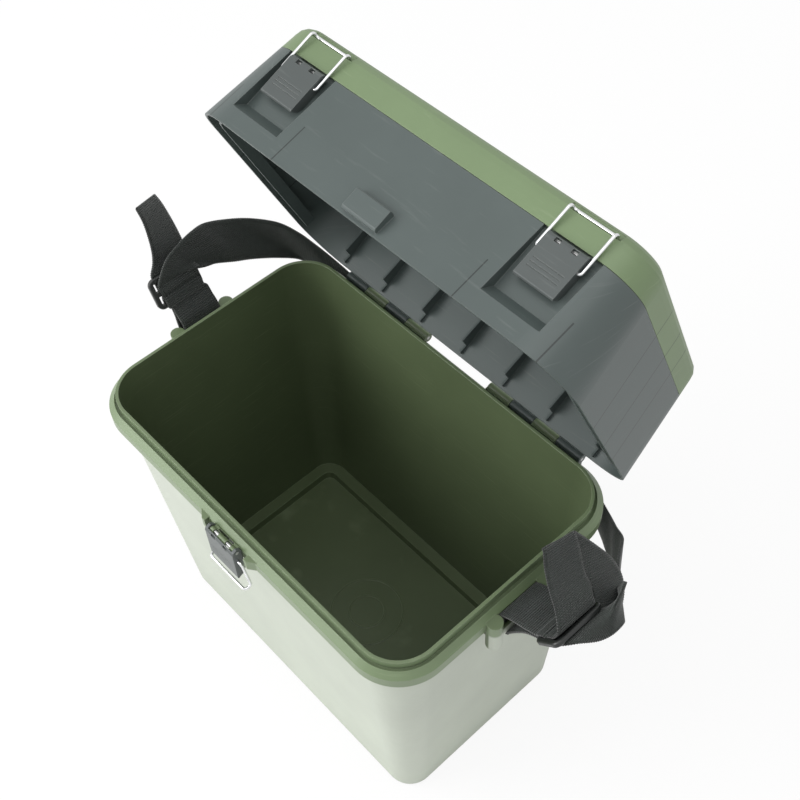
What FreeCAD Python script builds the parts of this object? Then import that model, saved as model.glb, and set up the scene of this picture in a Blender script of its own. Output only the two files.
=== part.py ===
"""Fishing seat box: tapered bin, hinged seat lid with a second hinged cap, latches and strap.

Frame: +Z up, +X to the right along the box, -Y to the front.
Origin: centre of the bin's underside. The lid is stored open, resting on its stop.
"""
import FreeCAD
import Part
import math
import os

V = FreeCAD.Vector
X_AXIS = V(1, 0, 0)
Y_AXIS = V(0, 1, 0)
Z_AXIS = V(0, 0, 1)

# Bin, in millimetres
BASE_LENGTH = 320.0
BASE_DEPTH = 186.0
BASE_CORNER = 22.0
LIP_LENGTH = 360.0
LIP_DEPTH = 225.0
LIP_CORNER = 35.0
BIN_HEIGHT = 291.0
BIN_WALL = 2.6
FLOOR_THICK = 3.0
BASE_ROUND = 4.0
LEDGE_HEIGHT = 11.0
LEDGE_WIDTH = 12.0
FLOOR_RING_RADII = (18.0, 36.0)
FLOOR_RING_WIDTH = 1.6
FLOOR_RING_HEIGHT = 0.8

# Rim around the bin's mouth
GROOVE_WIDTH = 2.2
GROOVE_DEPTH = 2.0
LIP_STAND = 7.0
FLANGE_INNER = 2.5
FLANGE_WIDTH = 7.5
SKIRT_HEIGHT = 10.0
SKIRT_WALL = 2.2

# Clearances
FIT_GAP = 0.05
PRESS_GAP = 0.02
SOFT_GAP = 0.3
SIDE_GAP = 0.55

# Lid hinge at the rear
OPEN_ANGLE = 66.3
BARREL_RADIUS = 4.0
PIN_RADIUS = 1.5
KNUCKLE_START = 36.5
KNUCKLE_LENGTH = 25.0
KNUCKLE_GAP = 0.5
KNUCKLE_COUNT = 4
HEEL_DROP = 7.5

# Lid tray, drawn shut
LID_WALL = 2.4
LID_OVERHANG = 7.2
LID_SEAT_DROP = 8.7
TRAY_HEIGHT = 74.2
TRAY_INSET = 9.1
TRAY_FLOOR_RISE = 40.0
TRAY_FLOOR_THICK = 2.4
DIVIDER_THICK = 1.8
CHANNEL_CLEAR = 1.2
LOCATOR_GAP = 1.9
LOCATOR_THICK = 2.0
LOCATOR_RISE = 2.5
REAR_RIB_COUNT = 7
REAR_RIB_PITCH = 48.5
REAR_RIB_DEPTH = 9.0
REAR_RIB_THICK = 2.0
LOW_RIB_GAP = 0.9

# Seat cap
CAP_GAP = 0.3
CAP_HEIGHT = 27.2
CAP_ROUND = 12.2
CAP_WALL = 2.6
CAP_TOP_THICK = 3.0
SEAT_PANEL_INSET = 34.0
SEAT_PANEL_HEIGHT = 1.2
CAP_RIB_DEPTH = 9.0
CAP_RIB_THICK = 2.0
CAP_BARREL_RADIUS = 3.4
CAP_KNUCKLE_CENTRE = 95.0
CAP_KNUCKLE_LENGTH = 16.0

# Latches: one lever and one wire bail, used three times
LATCH_OFFSET = 126.0
LEVER_WIDTH = 34.0
LEVER_PLATE = 1.6
LEVER_WALL = 2.5
LEVER_FACE = 4.5
LEVER_BACK = 4.0
LEVER_LENGTH = 33.0
LEVER_WINDOW = 5.0
LEVER_WINDOW_OFFSET = 7.2
LEVER_WINDOW_HALF = 1.7
WIRE_RADIUS = 1.25
BAIL_PIVOT_DROP = 9.5
BAIL_PIVOT_OUT = 1.3
BAIL_REACH = 34.6
BAIL_HOOK = 6.3
BAIL_BEND = 3.0
BAIL_TAIL = 3.0
FRONT_BAIL_SPREAD = 3.2
LATCH_PIN_DROP = 5.0
LATCH_PIN_OUT = 1.4
POCKET_WIDTH = 50.0
POCKET_BOTTOM = 15.4
POCKET_LEDGE_RISE = 8.5
POCKET_BACK_GAP = 0.5
CATCH_WIDTH = 33.0
CATCH_BOTTOM = 3.2
CATCH_HEIGHT = 17.2
CATCH_PROUD = 4.8
NOTCH_WIDTH = 44.0
NOTCH_HEIGHT = 5.5
NOTCH_BACK = 2.1

# Front latch tab on the bin
TAB_HALF = 34.5
TAB_BEVEL = 7.5
TAB_PROUD = 4.4
TAB_SLOT_LENGTH = 18.0
TAB_SLOT_WIDTH = 1.8

# Strap lugs on the ends
POST_RADIUS = 6.5
POST_SPACING = 52.0
POST_HEIGHT = 32.0
POST_OUT = 3.0
LUG_BAR_RADIUS = 3.0
LUG_BAR_DROP = 16.0
STRAP_PASS = 2.8

# Strap
STRAP_WIDTH = 38.0
STRAP_THICK = 2.0
SLIDER_LENGTH = 47.0
SLIDER_WIDTH = 29.0
SLIDER_BAR = 4.2
SLIDER_THICK = 4.0
SLIDER_RIGHT = (236.5, -1.0, 308.5)
SLIDER_RIGHT_TILT = 48.0
SLIDER_LEFT = (-211.5, -6.0, 311.5)
SLIDER_LEFT_TILT = 114.8

# Course of the webbing as pairs of edge points: (x, y, z) of one edge and of the other
TAIL_RIGHT = (
    ((240.5, -18.0, 322.5), (240.5, 19.5, 318.0)),
    ((237.0, -15.0, 327.0), (236.0, 22.0, 320.5)),
    ((228.0, -8.0, 328.0), (228.5, 29.0, 317.0)),
    ((215.6, 0.0, 327.0), (218.0, 35.0, 312.0)),
    ((203.0, 9.0, 328.5), (205.0, 44.5, 313.0)),
    ((194.5, 16.5, 331.5), (194.5, 51.5, 315.5)),
    ((190.6, 20.0, 327.5), (190.6, 55.0, 311.5)),
    ((195.5, 24.0, 322.0), (195.5, 58.5, 306.5)),
    ((206.0, 28.0, 317.0), (206.5, 62.0, 302.0)),
    ((217.0, 32.0, 310.0), (218.0, 65.5, 295.5)),
    ((228.0, 31.0, 304.0), (229.0, 64.0, 289.0)),
)
RUN_RIGHT = (
    ((252.0, -13.0, 317.0), (250.0, 24.5, 318.5)),
    ((260.0, 1.0, 313.0), (253.0, 30.0, 329.0)),
    ((262.5, 14.0, 309.0), (252.0, 33.0, 335.5)),
    ((259.0, 31.0, 298.0), (248.5, 40.0, 332.0)),
    ((248.5, 44.0, 275.0), (243.0, 43.5, 312.0)),
    ((237.0, 59.0, 248.0), (233.0, 58.0, 285.0)),
    ((221.0, 75.0, 238.0), (218.0, 76.0, 275.0)),
    ((208.0, 88.0, 231.0), (208.0, 91.0, 268.0)),
    ((198.5, 98.0, 226.0), (201.0, 102.4, 262.0)),
    ((185.0, 109.0, 215.0), (187.0, 112.0, 251.0)),
    ((171.0, 121.0, 204.0), (173.0, 122.0, 241.0)),
    ((156.0, 129.0, 203.0), (156.0, 129.0, 240.0)),
    ((138.0, 132.0, 206.0), (138.0, 131.5, 244.0)),
)
RUN_REAR = (
    ((137.5, 132.0, 206.1), (137.5, 131.5, 244.1)),
    ((105.0, 132.0, 208.0), (105.0, 131.5, 246.0)),
    ((55.0, 132.5, 209.5), (55.0, 132.5, 247.5)),
    ((0.0, 133.0, 210.0), (0.0, 133.0, 248.0)),
    ((-55.0, 132.5, 213.0), (-55.0, 132.5, 251.0)),
    ((-105.0, 132.0, 222.0), (-105.0, 131.5, 260.0)),
    ((-137.5, 132.0, 230.9), (-137.5, 131.0, 268.9)),
)
RUN_LEFT = (
    ((-208.5, 19.0, 317.0), (-216.0, -8.0, 336.0)),
    ((-208.0, 24.5, 313.0), (-219.5, 9.0, 341.5)),
    ((-209.5, 30.0, 309.5), (-222.0, 26.0, 344.0)),
    ((-211.0, 37.0, 305.5), (-227.0, 42.0, 338.5)),
    ((-208.5, 54.0, 297.0), (-225.5, 64.0, 329.0)),
    ((-205.5, 70.0, 290.5), (-216.5, 82.0, 323.5)),
    ((-199.5, 93.0, 279.5), (-200.8, 99.6, 317.0)),
    ((-195.0, 115.0, 264.0), (-191.5, 113.0, 302.0)),
    ((-186.0, 126.0, 247.5), (-183.0, 123.5, 285.5)),
    ((-170.0, 131.0, 237.0), (-168.0, 129.5, 275.0)),
    ((-138.0, 132.0, 231.0), (-138.0, 131.0, 269.0)),
)
TAIL_LEFT = (
    ((-222.5, -16.5, 334.0), (-229.0, 19.5, 326.5)),
    ((-225.0, -13.0, 344.0), (-233.5, 20.5, 331.0)),
    ((-230.5, -10.0, 356.5), (-244.0, 22.0, 341.0)),
    ((-237.0, -8.0, 368.0), (-257.0, 22.5, 354.0)),
    ((-248.0, -6.0, 374.0), (-267.5, 23.0, 357.5)),
)

NODES = {}


def box(x0, x1, y0, y1, z0, z1):
    return Part.makeBox(x1 - x0, y1 - y0, z1 - z0, V(x0, y0, z0))


def rod(start, end, radius):
    run = end.sub(start)
    return Part.makeCylinder(radius, run.Length, start, run)


def rounded_wire(half_x, half_y, corner, z):
    """Rectangle with round corners in the plane z, started at the same place every time."""
    flat_x = half_x - corner
    flat_y = half_y - corner
    diagonal = corner * math.sqrt(0.5)
    edges = []
    for turn in range(4):
        sign_x = (1, -1, -1, 1)[turn]
        sign_y = (1, 1, -1, -1)[turn]
        centre = V(sign_x * flat_x, sign_y * flat_y, z)
        end_x = V(centre.x + sign_x * corner, centre.y, z)
        end_y = V(centre.x, centre.y + sign_y * corner, z)
        middle = V(centre.x + sign_x * diagonal, centre.y + sign_y * diagonal, z)
        first, last = (end_x, end_y) if turn % 2 == 0 else (end_y, end_x)
        edges.append((first, middle, last))
    wire_edges = []
    for turn in range(4):
        first, middle, last = edges[turn]
        following = edges[(turn + 1) % 4][0]
        wire_edges.append(Part.Arc(first, middle, last).toShape())
        wire_edges.append(Part.LineSegment(last, following).toShape())
    return Part.Wire(wire_edges)


def rounded_loft(sections):
    """Closed solid through (half_x, half_y, corner, z) sections."""
    return Part.makeLoft([rounded_wire(*section) for section in sections], True, True)


def prism_x(points_yz, x0, x1):
    """Polygon in the YZ plane, extruded along X."""
    corners = [V(x0, y, z) for y, z in points_yz]
    face = Part.Face(Part.makePolygon(corners + [corners[0]]))
    return face.extrude(V(x1 - x0, 0, 0))


def prism_z(points_xy, z0, z1):
    """Polygon in the XY plane, extruded along Z."""
    corners = [V(x, y, z0) for x, y in points_xy]
    face = Part.Face(Part.makePolygon(corners + [corners[0]]))
    return face.extrude(V(0, 0, z1 - z0))


def fuse(shapes):
    return shapes[0].multiFuse(shapes[1:]).removeSplitter()


def turned(shape, centre, angle):
    """Copy of a shape, turned about the X direction through a centre."""
    copy = shape.copy()
    copy.rotate(centre, X_AXIS, angle)
    return copy


# Places worked out from the sizes above

SHOULDER_Z = BIN_HEIGHT - LIP_STAND
SKIRT_TOP = SHOULDER_Z - (FLANGE_WIDTH - FLANGE_INNER)
SKIRT_BOTTOM = SKIRT_TOP - SKIRT_HEIGHT
SKIRT_HALF_X = LIP_LENGTH / 2 + FLANGE_WIDTH
SKIRT_HALF_Y = LIP_DEPTH / 2 + FLANGE_WIDTH
HINGE_Y = SKIRT_HALF_Y + SOFT_GAP + BARREL_RADIUS
HINGE_Z = SKIRT_TOP
HINGE = V(0, HINGE_Y, HINGE_Z)

RIM_Z = BIN_HEIGHT - LID_SEAT_DROP
RIM_HALF_X = LIP_LENGTH / 2 + LID_OVERHANG
RIM_HALF_Y = LIP_DEPTH / 2 + LID_OVERHANG
RIM_CORNER = LIP_CORNER + LID_OVERHANG
JOINT_Z = RIM_Z + TRAY_HEIGHT
TRAY_FLOOR_Z = RIM_Z + TRAY_FLOOR_RISE
LID_TAPER = TRAY_INSET / TRAY_HEIGHT

CAP_Z = JOINT_Z + CAP_GAP
CAP_TOP = JOINT_Z + CAP_HEIGHT
CAP_SIDE_TOP = CAP_TOP - CAP_ROUND
CAP_HINGE_Y = RIM_HALF_Y - TRAY_INSET + SOFT_GAP + CAP_BARREL_RADIUS
CAP_HINGE = V(0, CAP_HINGE_Y, JOINT_Z)

LID_PIN_Z = JOINT_Z - LATCH_PIN_DROP
LATCH_BARREL = LEVER_FACE - LEVER_PLATE - SOFT_GAP
LATCH_WEB_TOP = LATCH_BARREL * 0.3
LID_FACE_AT_PIN = -(RIM_HALF_Y - LID_TAPER * (LID_PIN_Z - RIM_Z))
LID_PIN_Y = LID_FACE_AT_PIN - LATCH_PIN_OUT + 1.3
POCKET_BACK_Y = LID_PIN_Y + LEVER_BACK + POCKET_BACK_GAP
FRONT_PIN_Y = -(SKIRT_HALF_Y + TAB_PROUD)
FRONT_PIN_Z = SKIRT_TOP + 1.0

POST_X = SKIRT_HALF_X + POST_OUT
POST_TOP = SKIRT_TOP + 1.0
LUG_BAR_X = SKIRT_HALF_X + STRAP_PASS + LUG_BAR_RADIUS
LUG_BAR_Z = POST_TOP - LUG_BAR_DROP


def bin_half(z):
    """Half length, half depth and corner radius of the bin's outside at height z."""
    share = z / BIN_HEIGHT
    half_x = BASE_LENGTH / 2 + (LIP_LENGTH - BASE_LENGTH) / 2 * share
    half_y = BASE_DEPTH / 2 + (LIP_DEPTH - BASE_DEPTH) / 2 * share
    corner = BASE_CORNER + (LIP_CORNER - BASE_CORNER) * share
    return half_x, half_y, corner


def bin_section(z, inset):
    half_x, half_y, corner = bin_half(z)
    return half_x - inset, half_y - inset, max(corner - inset, 1.0), z


def rim_section(z, out):
    """Section around the mouth, given by its distance outside the lip."""
    return LIP_LENGTH / 2 + out, LIP_DEPTH / 2 + out, LIP_CORNER + out, z


def lid_section(z, inset):
    """Section of the shut lid, given by its distance inside the tapered outside."""
    drawn_in = LID_TAPER * (z - RIM_Z) + inset
    return RIM_HALF_X - drawn_in, RIM_HALF_Y - drawn_in, RIM_CORNER - drawn_in, z


def cap_sections(inset, bottom, side_top, top, round_size):
    """Sections of the seat cap's outside or inside, with its rounded upper edge."""
    sections = [lid_section(bottom, inset), lid_section(side_top, inset)]
    side_inset = LID_TAPER * (side_top - RIM_Z) + inset
    for step in range(1, 5):
        angle = math.radians(22.5 * step)
        drawn_in = side_inset + round_size * (1 - math.cos(angle))
        z = side_top + (top - side_top) * math.sin(angle)
        sections.append((RIM_HALF_X - drawn_in, RIM_HALF_Y - drawn_in, RIM_CORNER - drawn_in, z))
    return sections


def knuckle_spans(owner):
    """Stretches along X of the hinge knuckles, on both sides. Owner 0 is the bin, 1 the lid."""
    pitch = KNUCKLE_LENGTH + KNUCKLE_GAP
    spans = []
    for index in range(owner, KNUCKLE_COUNT, 2):
        start = KNUCKLE_START + index * pitch
        spans.append((start, start + KNUCKLE_LENGTH))
        spans.append((-start - KNUCKLE_LENGTH, -start))
    return spans


def pin_hole(centre, x0, x1, radius):
    return rod(V(x0 - 1, centre.y, centre.z), V(x1 + 1, centre.y, centre.z), radius)


def make_bin():
    body = rounded_loft([
        bin_section(0, BASE_ROUND),
        bin_section(BASE_ROUND * 0.3, BASE_ROUND * 0.3),
        bin_section(BASE_ROUND, 0),
        bin_section(BIN_HEIGHT, 0),
    ])
    rim = rounded_loft([
        rim_section(SKIRT_BOTTOM, FLANGE_WIDTH),
        rim_section(SKIRT_TOP, FLANGE_WIDTH),
        rim_section(SHOULDER_Z, FLANGE_INNER),
    ])
    under_skirt = rounded_loft([
        rim_section(SKIRT_BOTTOM - 1, FLANGE_WIDTH - SKIRT_WALL),
        rim_section(SKIRT_TOP - SKIRT_WALL, FLANGE_WIDTH - SKIRT_WALL),
    ]).cut(body)
    groove = rounded_loft([
        rim_section(SHOULDER_Z - GROOVE_DEPTH, GROOVE_WIDTH),
        rim_section(SHOULDER_Z + 1, GROOVE_WIDTH),
    ]).cut(body)
    pieces = [body, rim.cut(under_skirt)]
    pieces += bin_knuckles()
    pieces += latch_tab()
    for side in (-1, 1):
        pieces += strap_lug(side, body)
    tub = fuse(pieces).cut(groove)

    ledge_top = LEDGE_HEIGHT
    upper = rounded_loft([
        bin_section(ledge_top, BIN_WALL),
        bin_section(BIN_HEIGHT + 1, BIN_WALL),
    ])
    lower = rounded_loft([
        bin_section(FLOOR_THICK, BIN_WALL + LEDGE_WIDTH),
        bin_section(ledge_top + 1, BIN_WALL + LEDGE_WIDTH - 1),
    ])
    under_ledge = rounded_loft([
        bin_section(-1, 2 * BIN_WALL),
        bin_section(ledge_top - FLOOR_THICK, 2 * BIN_WALL),
    ]).cut(rounded_loft([
        bin_section(-2, LEDGE_WIDTH - 1),
        bin_section(ledge_top, LEDGE_WIDTH - 1),
    ]))
    tub = tub.cut(upper).cut(lower).cut(under_ledge)
    for radius in FLOOR_RING_RADII:
        ring_outer = Part.makeCylinder(radius, FLOOR_RING_HEIGHT + 1, V(0, 0, FLOOR_THICK - 1))
        ring_inner = Part.makeCylinder(radius - FLOOR_RING_WIDTH, FLOOR_RING_HEIGHT + 3,
                                       V(0, 0, FLOOR_THICK - 2))
        tub = tub.fuse(ring_outer.cut(ring_inner))
    slot_half = TAB_SLOT_LENGTH / 2
    slot_y = -(SKIRT_HALF_Y + 0.4)
    tub = tub.cut(box(-slot_half, slot_half, slot_y - TAB_SLOT_WIDTH, slot_y,
                      SKIRT_BOTTOM - 1, SHOULDER_Z + 2))
    for x0, x1 in knuckle_spans(0):
        tub = tub.cut(pin_hole(HINGE, x0, x1, PIN_RADIUS + PRESS_GAP))
    return tub.removeSplitter()


def bin_knuckles():
    pieces = []
    for x0, x1 in knuckle_spans(0):
        pieces.append(rod(V(x0, HINGE_Y, HINGE_Z), V(x1, HINGE_Y, HINGE_Z), BARREL_RADIUS))
        pieces.append(box(x0, x1, SKIRT_HALF_Y - 1, HINGE_Y, HINGE_Z - 3.2, HINGE_Z + 2.4))
    return pieces


def latch_tab():
    """Widened flange at the front, with the barrel that carries the front latch."""
    front = -SKIRT_HALF_Y
    inner_x = LEVER_WIDTH / 2 + FRONT_BAIL_SPREAD + 2 * WIRE_RADIUS + 2 * SIDE_GAP
    pieces = []
    for side in (-1, 1):
        outline = [
            (side * inner_x, front + 1),
            (side * inner_x, front - TAB_PROUD),
            (side * (TAB_HALF - TAB_BEVEL), front - TAB_PROUD),
            (side * TAB_HALF, front + 1),
        ]
        pieces.append(prism_z(outline, SKIRT_BOTTOM, SKIRT_TOP + 1))
    core_x = LEVER_WIDTH / 2 - LEVER_WALL - SIDE_GAP
    bottom = FRONT_PIN_Z - LATCH_BARREL
    foot = box(-core_x, core_x, FRONT_PIN_Y, front + 1, bottom, SKIRT_TOP)
    core = box(-core_x, core_x, FRONT_PIN_Y, front - 0.1, bottom, FRONT_PIN_Z + LATCH_WEB_TOP)
    barrel = rod(V(-core_x, FRONT_PIN_Y, FRONT_PIN_Z), V(core_x, FRONT_PIN_Y, FRONT_PIN_Z),
                 LATCH_BARREL)
    carrier = fuse([core, foot, barrel]).cut(barrel_windows(V(0, FRONT_PIN_Y, FRONT_PIN_Z)))
    pieces.append(carrier.cut(pin_hole(V(0, FRONT_PIN_Y, FRONT_PIN_Z), -core_x, core_x,
                                       PIN_RADIUS + PRESS_GAP)))
    return pieces


def strap_lug(side, body):
    """Two posts under the flange and the bar between them that the webbing goes round."""
    pieces = []
    post_bottom = POST_TOP - POST_HEIGHT
    x = side * POST_X
    for along in (-1, 1):
        y = along * POST_SPACING / 2
        post = Part.makeCylinder(POST_RADIUS, POST_HEIGHT, V(x, y, post_bottom))
        wall_x = side * (bin_half(post_bottom)[0] - BIN_WALL / 2)
        web = box(min(x, wall_x), max(x, wall_x), y - 1.5, y + 1.5, post_bottom + 4, POST_TOP - 2)
        pieces += [post, web]
    half = POST_SPACING / 2
    bar_x = side * LUG_BAR_X
    pieces.append(rod(V(bar_x, -half, LUG_BAR_Z), V(bar_x, half, LUG_BAR_Z), LUG_BAR_RADIUS))
    return pieces


def hinge_pins(centre, x_inner, x_outer, radius):
    pins = []
    for side in (-1, 1):
        pins.append(rod(V(side * x_inner, centre.y, centre.z), V(side * x_outer, centre.y, centre.z),
                        radius))
    return pins


def make_tray():
    """Lower half of the lid, drawn shut."""
    outside = rounded_loft([lid_section(RIM_Z, 0), lid_section(JOINT_Z, 0)])
    inside = rounded_loft([lid_section(RIM_Z - 1, LID_WALL), lid_section(JOINT_Z + 1, LID_WALL)])
    floor = rounded_loft([lid_section(TRAY_FLOOR_Z, 0.5),
                          lid_section(TRAY_FLOOR_Z + TRAY_FLOOR_THICK, 0.5)])
    pieces = [outside.cut(inside), floor]
    pieces += rim_channel()
    pieces += rear_ribs(outside)
    pieces += tray_dividers()
    for side in (-1, 1):
        pieces.append(pocket_housing(side).common(outside))
    pieces.append(catch_boss())
    pieces.append(cap_locator())
    tray = fuse(pieces)
    for side in (-1, 1):
        tray = tray.cut(pocket_space(side))
    for side in (-1, 1):
        tray = tray.fuse(lid_latch_bosses(side))
    tray = fuse([tray] + lid_knuckles() + cap_knuckles(tray_side=True))
    for x0, x1 in knuckle_spans(1):
        tray = tray.cut(pin_hole(HINGE, x0, x1, PIN_RADIUS + FIT_GAP))
    for side in (-1, 1):
        tray = tray.cut(pin_hole(V(0, LID_PIN_Y, LID_PIN_Z),
                                 side * LATCH_OFFSET - LEVER_WIDTH / 2,
                                 side * LATCH_OFFSET + LEVER_WIDTH / 2, PIN_RADIUS + PRESS_GAP))
    tray = tray.cut(cap_pin_holes(PRESS_GAP))
    return tray


def rim_channel():
    """Ledge over the bin's lip and the locating wall that drops inside it."""
    ledge_z = BIN_HEIGHT + CHANNEL_CLEAR
    wall_out = -(BIN_WALL + LOCATOR_GAP)
    ledge = rounded_loft([rim_section(ledge_z, LID_OVERHANG - 2 * LID_WALL + 1.2),
                          rim_section(ledge_z + LID_WALL, LID_OVERHANG - 2 * LID_WALL + 1.2)])
    opening = rounded_loft([rim_section(ledge_z - 1, wall_out - LOCATOR_THICK),
                            rim_section(ledge_z + LID_WALL + 1, wall_out - LOCATOR_THICK)])
    locator = rounded_loft([rim_section(RIM_Z + LOCATOR_RISE, wall_out),
                            rim_section(ledge_z + 1, wall_out)])
    locator_inside = rounded_loft([rim_section(RIM_Z + LOCATOR_RISE - 1, wall_out - LOCATOR_THICK),
                                   rim_section(ledge_z + 2, wall_out - LOCATOR_THICK)])
    rear_y = LIP_DEPTH / 2 - LIP_CORNER
    rear_cut = box(-RIM_HALF_X, RIM_HALF_X, rear_y, RIM_HALF_Y, RIM_Z + LOCATOR_RISE - 2, ledge_z + 8)
    return [ledge.cut(opening).cut(rear_cut), locator.cut(locator_inside).cut(rear_cut)]


def rear_ribs(outside):
    ledge_z = BIN_HEIGHT + CHANNEL_CLEAR
    pieces = []
    first = -(REAR_RIB_COUNT - 1) / 2
    for index in range(REAR_RIB_COUNT):
        x = (first + index) * REAR_RIB_PITCH
        rib = box(x - REAR_RIB_THICK / 2, x + REAR_RIB_THICK / 2,
                  RIM_HALF_Y - LID_TAPER * TRAY_FLOOR_RISE - LID_WALL - REAR_RIB_DEPTH, RIM_HALF_Y,
                  ledge_z, TRAY_FLOOR_Z + 1)
        low_rib = box(x - REAR_RIB_THICK / 2, x + REAR_RIB_THICK / 2,
                      LIP_DEPTH / 2 + LOW_RIB_GAP, RIM_HALF_Y, SHOULDER_Z + 2 * SOFT_GAP, ledge_z + 1)
        pieces.append(rib.fuse(low_rib).common(outside))
    return pieces


def tray_dividers():
    """Walls of the compartments under the seat cap."""
    top = JOINT_Z - 1.5
    bottom = TRAY_FLOOR_Z + TRAY_FLOOR_THICK - 0.5
    half = DIVIDER_THICK / 2
    front_y = POCKET_BACK_Y + LID_WALL + 20
    end_x = RIM_HALF_X - TRAY_INSET - LID_WALL + 0.5
    end_y = RIM_HALF_Y - TRAY_INSET - LID_WALL + 0.5
    pieces = [box(-end_x, end_x, front_y - half, front_y + half, bottom, top)]
    for x in (-LATCH_OFFSET + POCKET_WIDTH / 2 + 10, LATCH_OFFSET - POCKET_WIDTH / 2 - 10):
        pieces.append(box(x - half, x + half, front_y, end_y, bottom, top))
    return pieces


def pocket_housing(side):
    centre = side * LATCH_OFFSET
    half = POCKET_WIDTH / 2 + LID_WALL
    return box(centre - half, centre + half, -RIM_HALF_Y, POCKET_BACK_Y + LID_WALL,
               RIM_Z + POCKET_BOTTOM - LID_WALL, JOINT_Z)


def pocket_space(side):
    centre = side * LATCH_OFFSET
    bottom = RIM_Z + POCKET_BOTTOM
    outer_y = -(RIM_HALF_Y - LID_TAPER * POCKET_BOTTOM)
    profile = [
        (-RIM_HALF_Y - 5, bottom - 1),
        (outer_y, bottom),
        (POCKET_BACK_Y, bottom + POCKET_LEDGE_RISE),
        (POCKET_BACK_Y, JOINT_Z + 6),
        (-RIM_HALF_Y - 5, JOINT_Z + 6),
    ]
    return prism_x(profile, centre - POCKET_WIDTH / 2, centre + POCKET_WIDTH / 2)


def barrel_windows(pin):
    """Gaps in a latch barrel where the lever's windows show the steel pin."""
    half = LEVER_WINDOW / 2 + SOFT_GAP
    gaps = []
    for side in (-1, 1):
        x = pin.x + side * LEVER_WINDOW_OFFSET
        gaps.append(box(x - half, x + half, pin.y - LEVER_FACE, pin.y + PIN_RADIUS + SOFT_GAP,
                        pin.z - LEVER_BACK, pin.z + LEVER_BACK))
    return Part.makeCompound(gaps)


def lid_latch_bosses(side):
    """Barrel in the pocket that carries a lid latch's pin, between the lever's ears."""
    core_x = LEVER_WIDTH / 2 - LEVER_WALL - SIDE_GAP
    centre = side * LATCH_OFFSET
    barrel = rod(V(centre - core_x, LID_PIN_Y, LID_PIN_Z), V(centre + core_x, LID_PIN_Y, LID_PIN_Z),
                 LATCH_BARREL)
    web = box(centre - core_x, centre + core_x, LID_PIN_Y, POCKET_BACK_Y + 0.5,
              LID_PIN_Z - LATCH_BARREL, LID_PIN_Z + LATCH_WEB_TOP)
    return fuse([barrel, web]).cut(barrel_windows(V(centre, LID_PIN_Y, LID_PIN_Z)))


def catch_boss():
    """Block on the lid's front wall that the front latch's wire hooks over."""
    half = CATCH_WIDTH / 2
    bottom = RIM_Z + CATCH_BOTTOM
    top = bottom + CATCH_HEIGHT
    face = -(RIM_HALF_Y - LID_TAPER * CATCH_BOTTOM) - CATCH_PROUD
    profile = [
        (face, bottom + 1.5),
        (face + 1.5, bottom),
        (face + CATCH_PROUD + 3.0, bottom),
        (face + CATCH_PROUD + 4.5, top),
        (face + 1.0, top),
        (face, top - 1.0),
    ]
    return prism_x(profile, -half, half)


def cap_locator():
    """Low wall on the tray's top edge that the seat cap drops over."""
    outer = LID_WALL + 0.7
    return rounded_loft([lid_section(JOINT_Z - 3, outer), lid_section(JOINT_Z + 3, outer)]).cut(
        rounded_loft([lid_section(JOINT_Z - 4, outer + 1.6), lid_section(JOINT_Z + 4, outer + 1.6)])
    ).fuse(
        rounded_loft([lid_section(JOINT_Z - 3, LID_WALL - 0.5), lid_section(JOINT_Z - 1, LID_WALL - 0.5)]).cut(
            rounded_loft([lid_section(JOINT_Z - 4, outer + 1.6), lid_section(JOINT_Z, outer + 1.6)]))
    )


def lid_knuckles():
    pieces = []
    for x0, x1 in knuckle_spans(1):
        pieces.append(rod(V(x0, HINGE_Y, HINGE_Z), V(x1, HINGE_Y, HINGE_Z), BARREL_RADIUS))
        pieces.append(box(x0, x1, RIM_HALF_Y - 1.4, HINGE_Y + 1.6, RIM_Z, RIM_Z + 4.5))
        pieces.append(box(x0, x1, HINGE_Y - 2.6, HINGE_Y + 2.6, HINGE_Z, RIM_Z + 1))
        heel = box(x0, x1, SKIRT_HALF_Y + SOFT_GAP, HINGE_Y, HINGE_Z - HEEL_DROP, HINGE_Z)
        pieces.append(turned(heel, HINGE, OPEN_ANGLE))
    return pieces


def cap_knuckles(tray_side):
    """Barrels of the seat cap's hinge: the outer pair on the tray, the inner one on the cap."""
    pieces = []
    for side in (-1, 1):
        for offset in (-1, 0, 1):
            if (offset == 0) == tray_side:
                continue
            middle = side * CAP_KNUCKLE_CENTRE + offset * (CAP_KNUCKLE_LENGTH + KNUCKLE_GAP)
            x0 = middle - CAP_KNUCKLE_LENGTH / 2
            x1 = middle + CAP_KNUCKLE_LENGTH / 2
            pieces.append(rod(V(x0, CAP_HINGE_Y, JOINT_Z), V(x1, CAP_HINGE_Y, JOINT_Z),
                              CAP_BARREL_RADIUS))
            face_y = RIM_HALF_Y - TRAY_INSET
            if tray_side:
                pieces.append(box(x0, x1, face_y - 1, CAP_HINGE_Y, JOINT_Z - CAP_BARREL_RADIUS, JOINT_Z - 0.6))
            else:
                pieces.append(box(x0, x1, face_y - 2, CAP_HINGE_Y, JOINT_Z + 0.9, JOINT_Z + CAP_BARREL_RADIUS))
    return pieces


def cap_pin_spans():
    reach = 1.5 * CAP_KNUCKLE_LENGTH + KNUCKLE_GAP
    return CAP_KNUCKLE_CENTRE - reach, CAP_KNUCKLE_CENTRE + reach


def cap_pin_holes(gap):
    inner, outer = cap_pin_spans()
    holes = []
    for side in (-1, 1):
        x0 = min(side * inner, side * outer)
        x1 = max(side * inner, side * outer)
        holes.append(pin_hole(CAP_HINGE, x0, x1, PIN_RADIUS + gap))
    return holes[0].fuse(holes[1])


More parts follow.
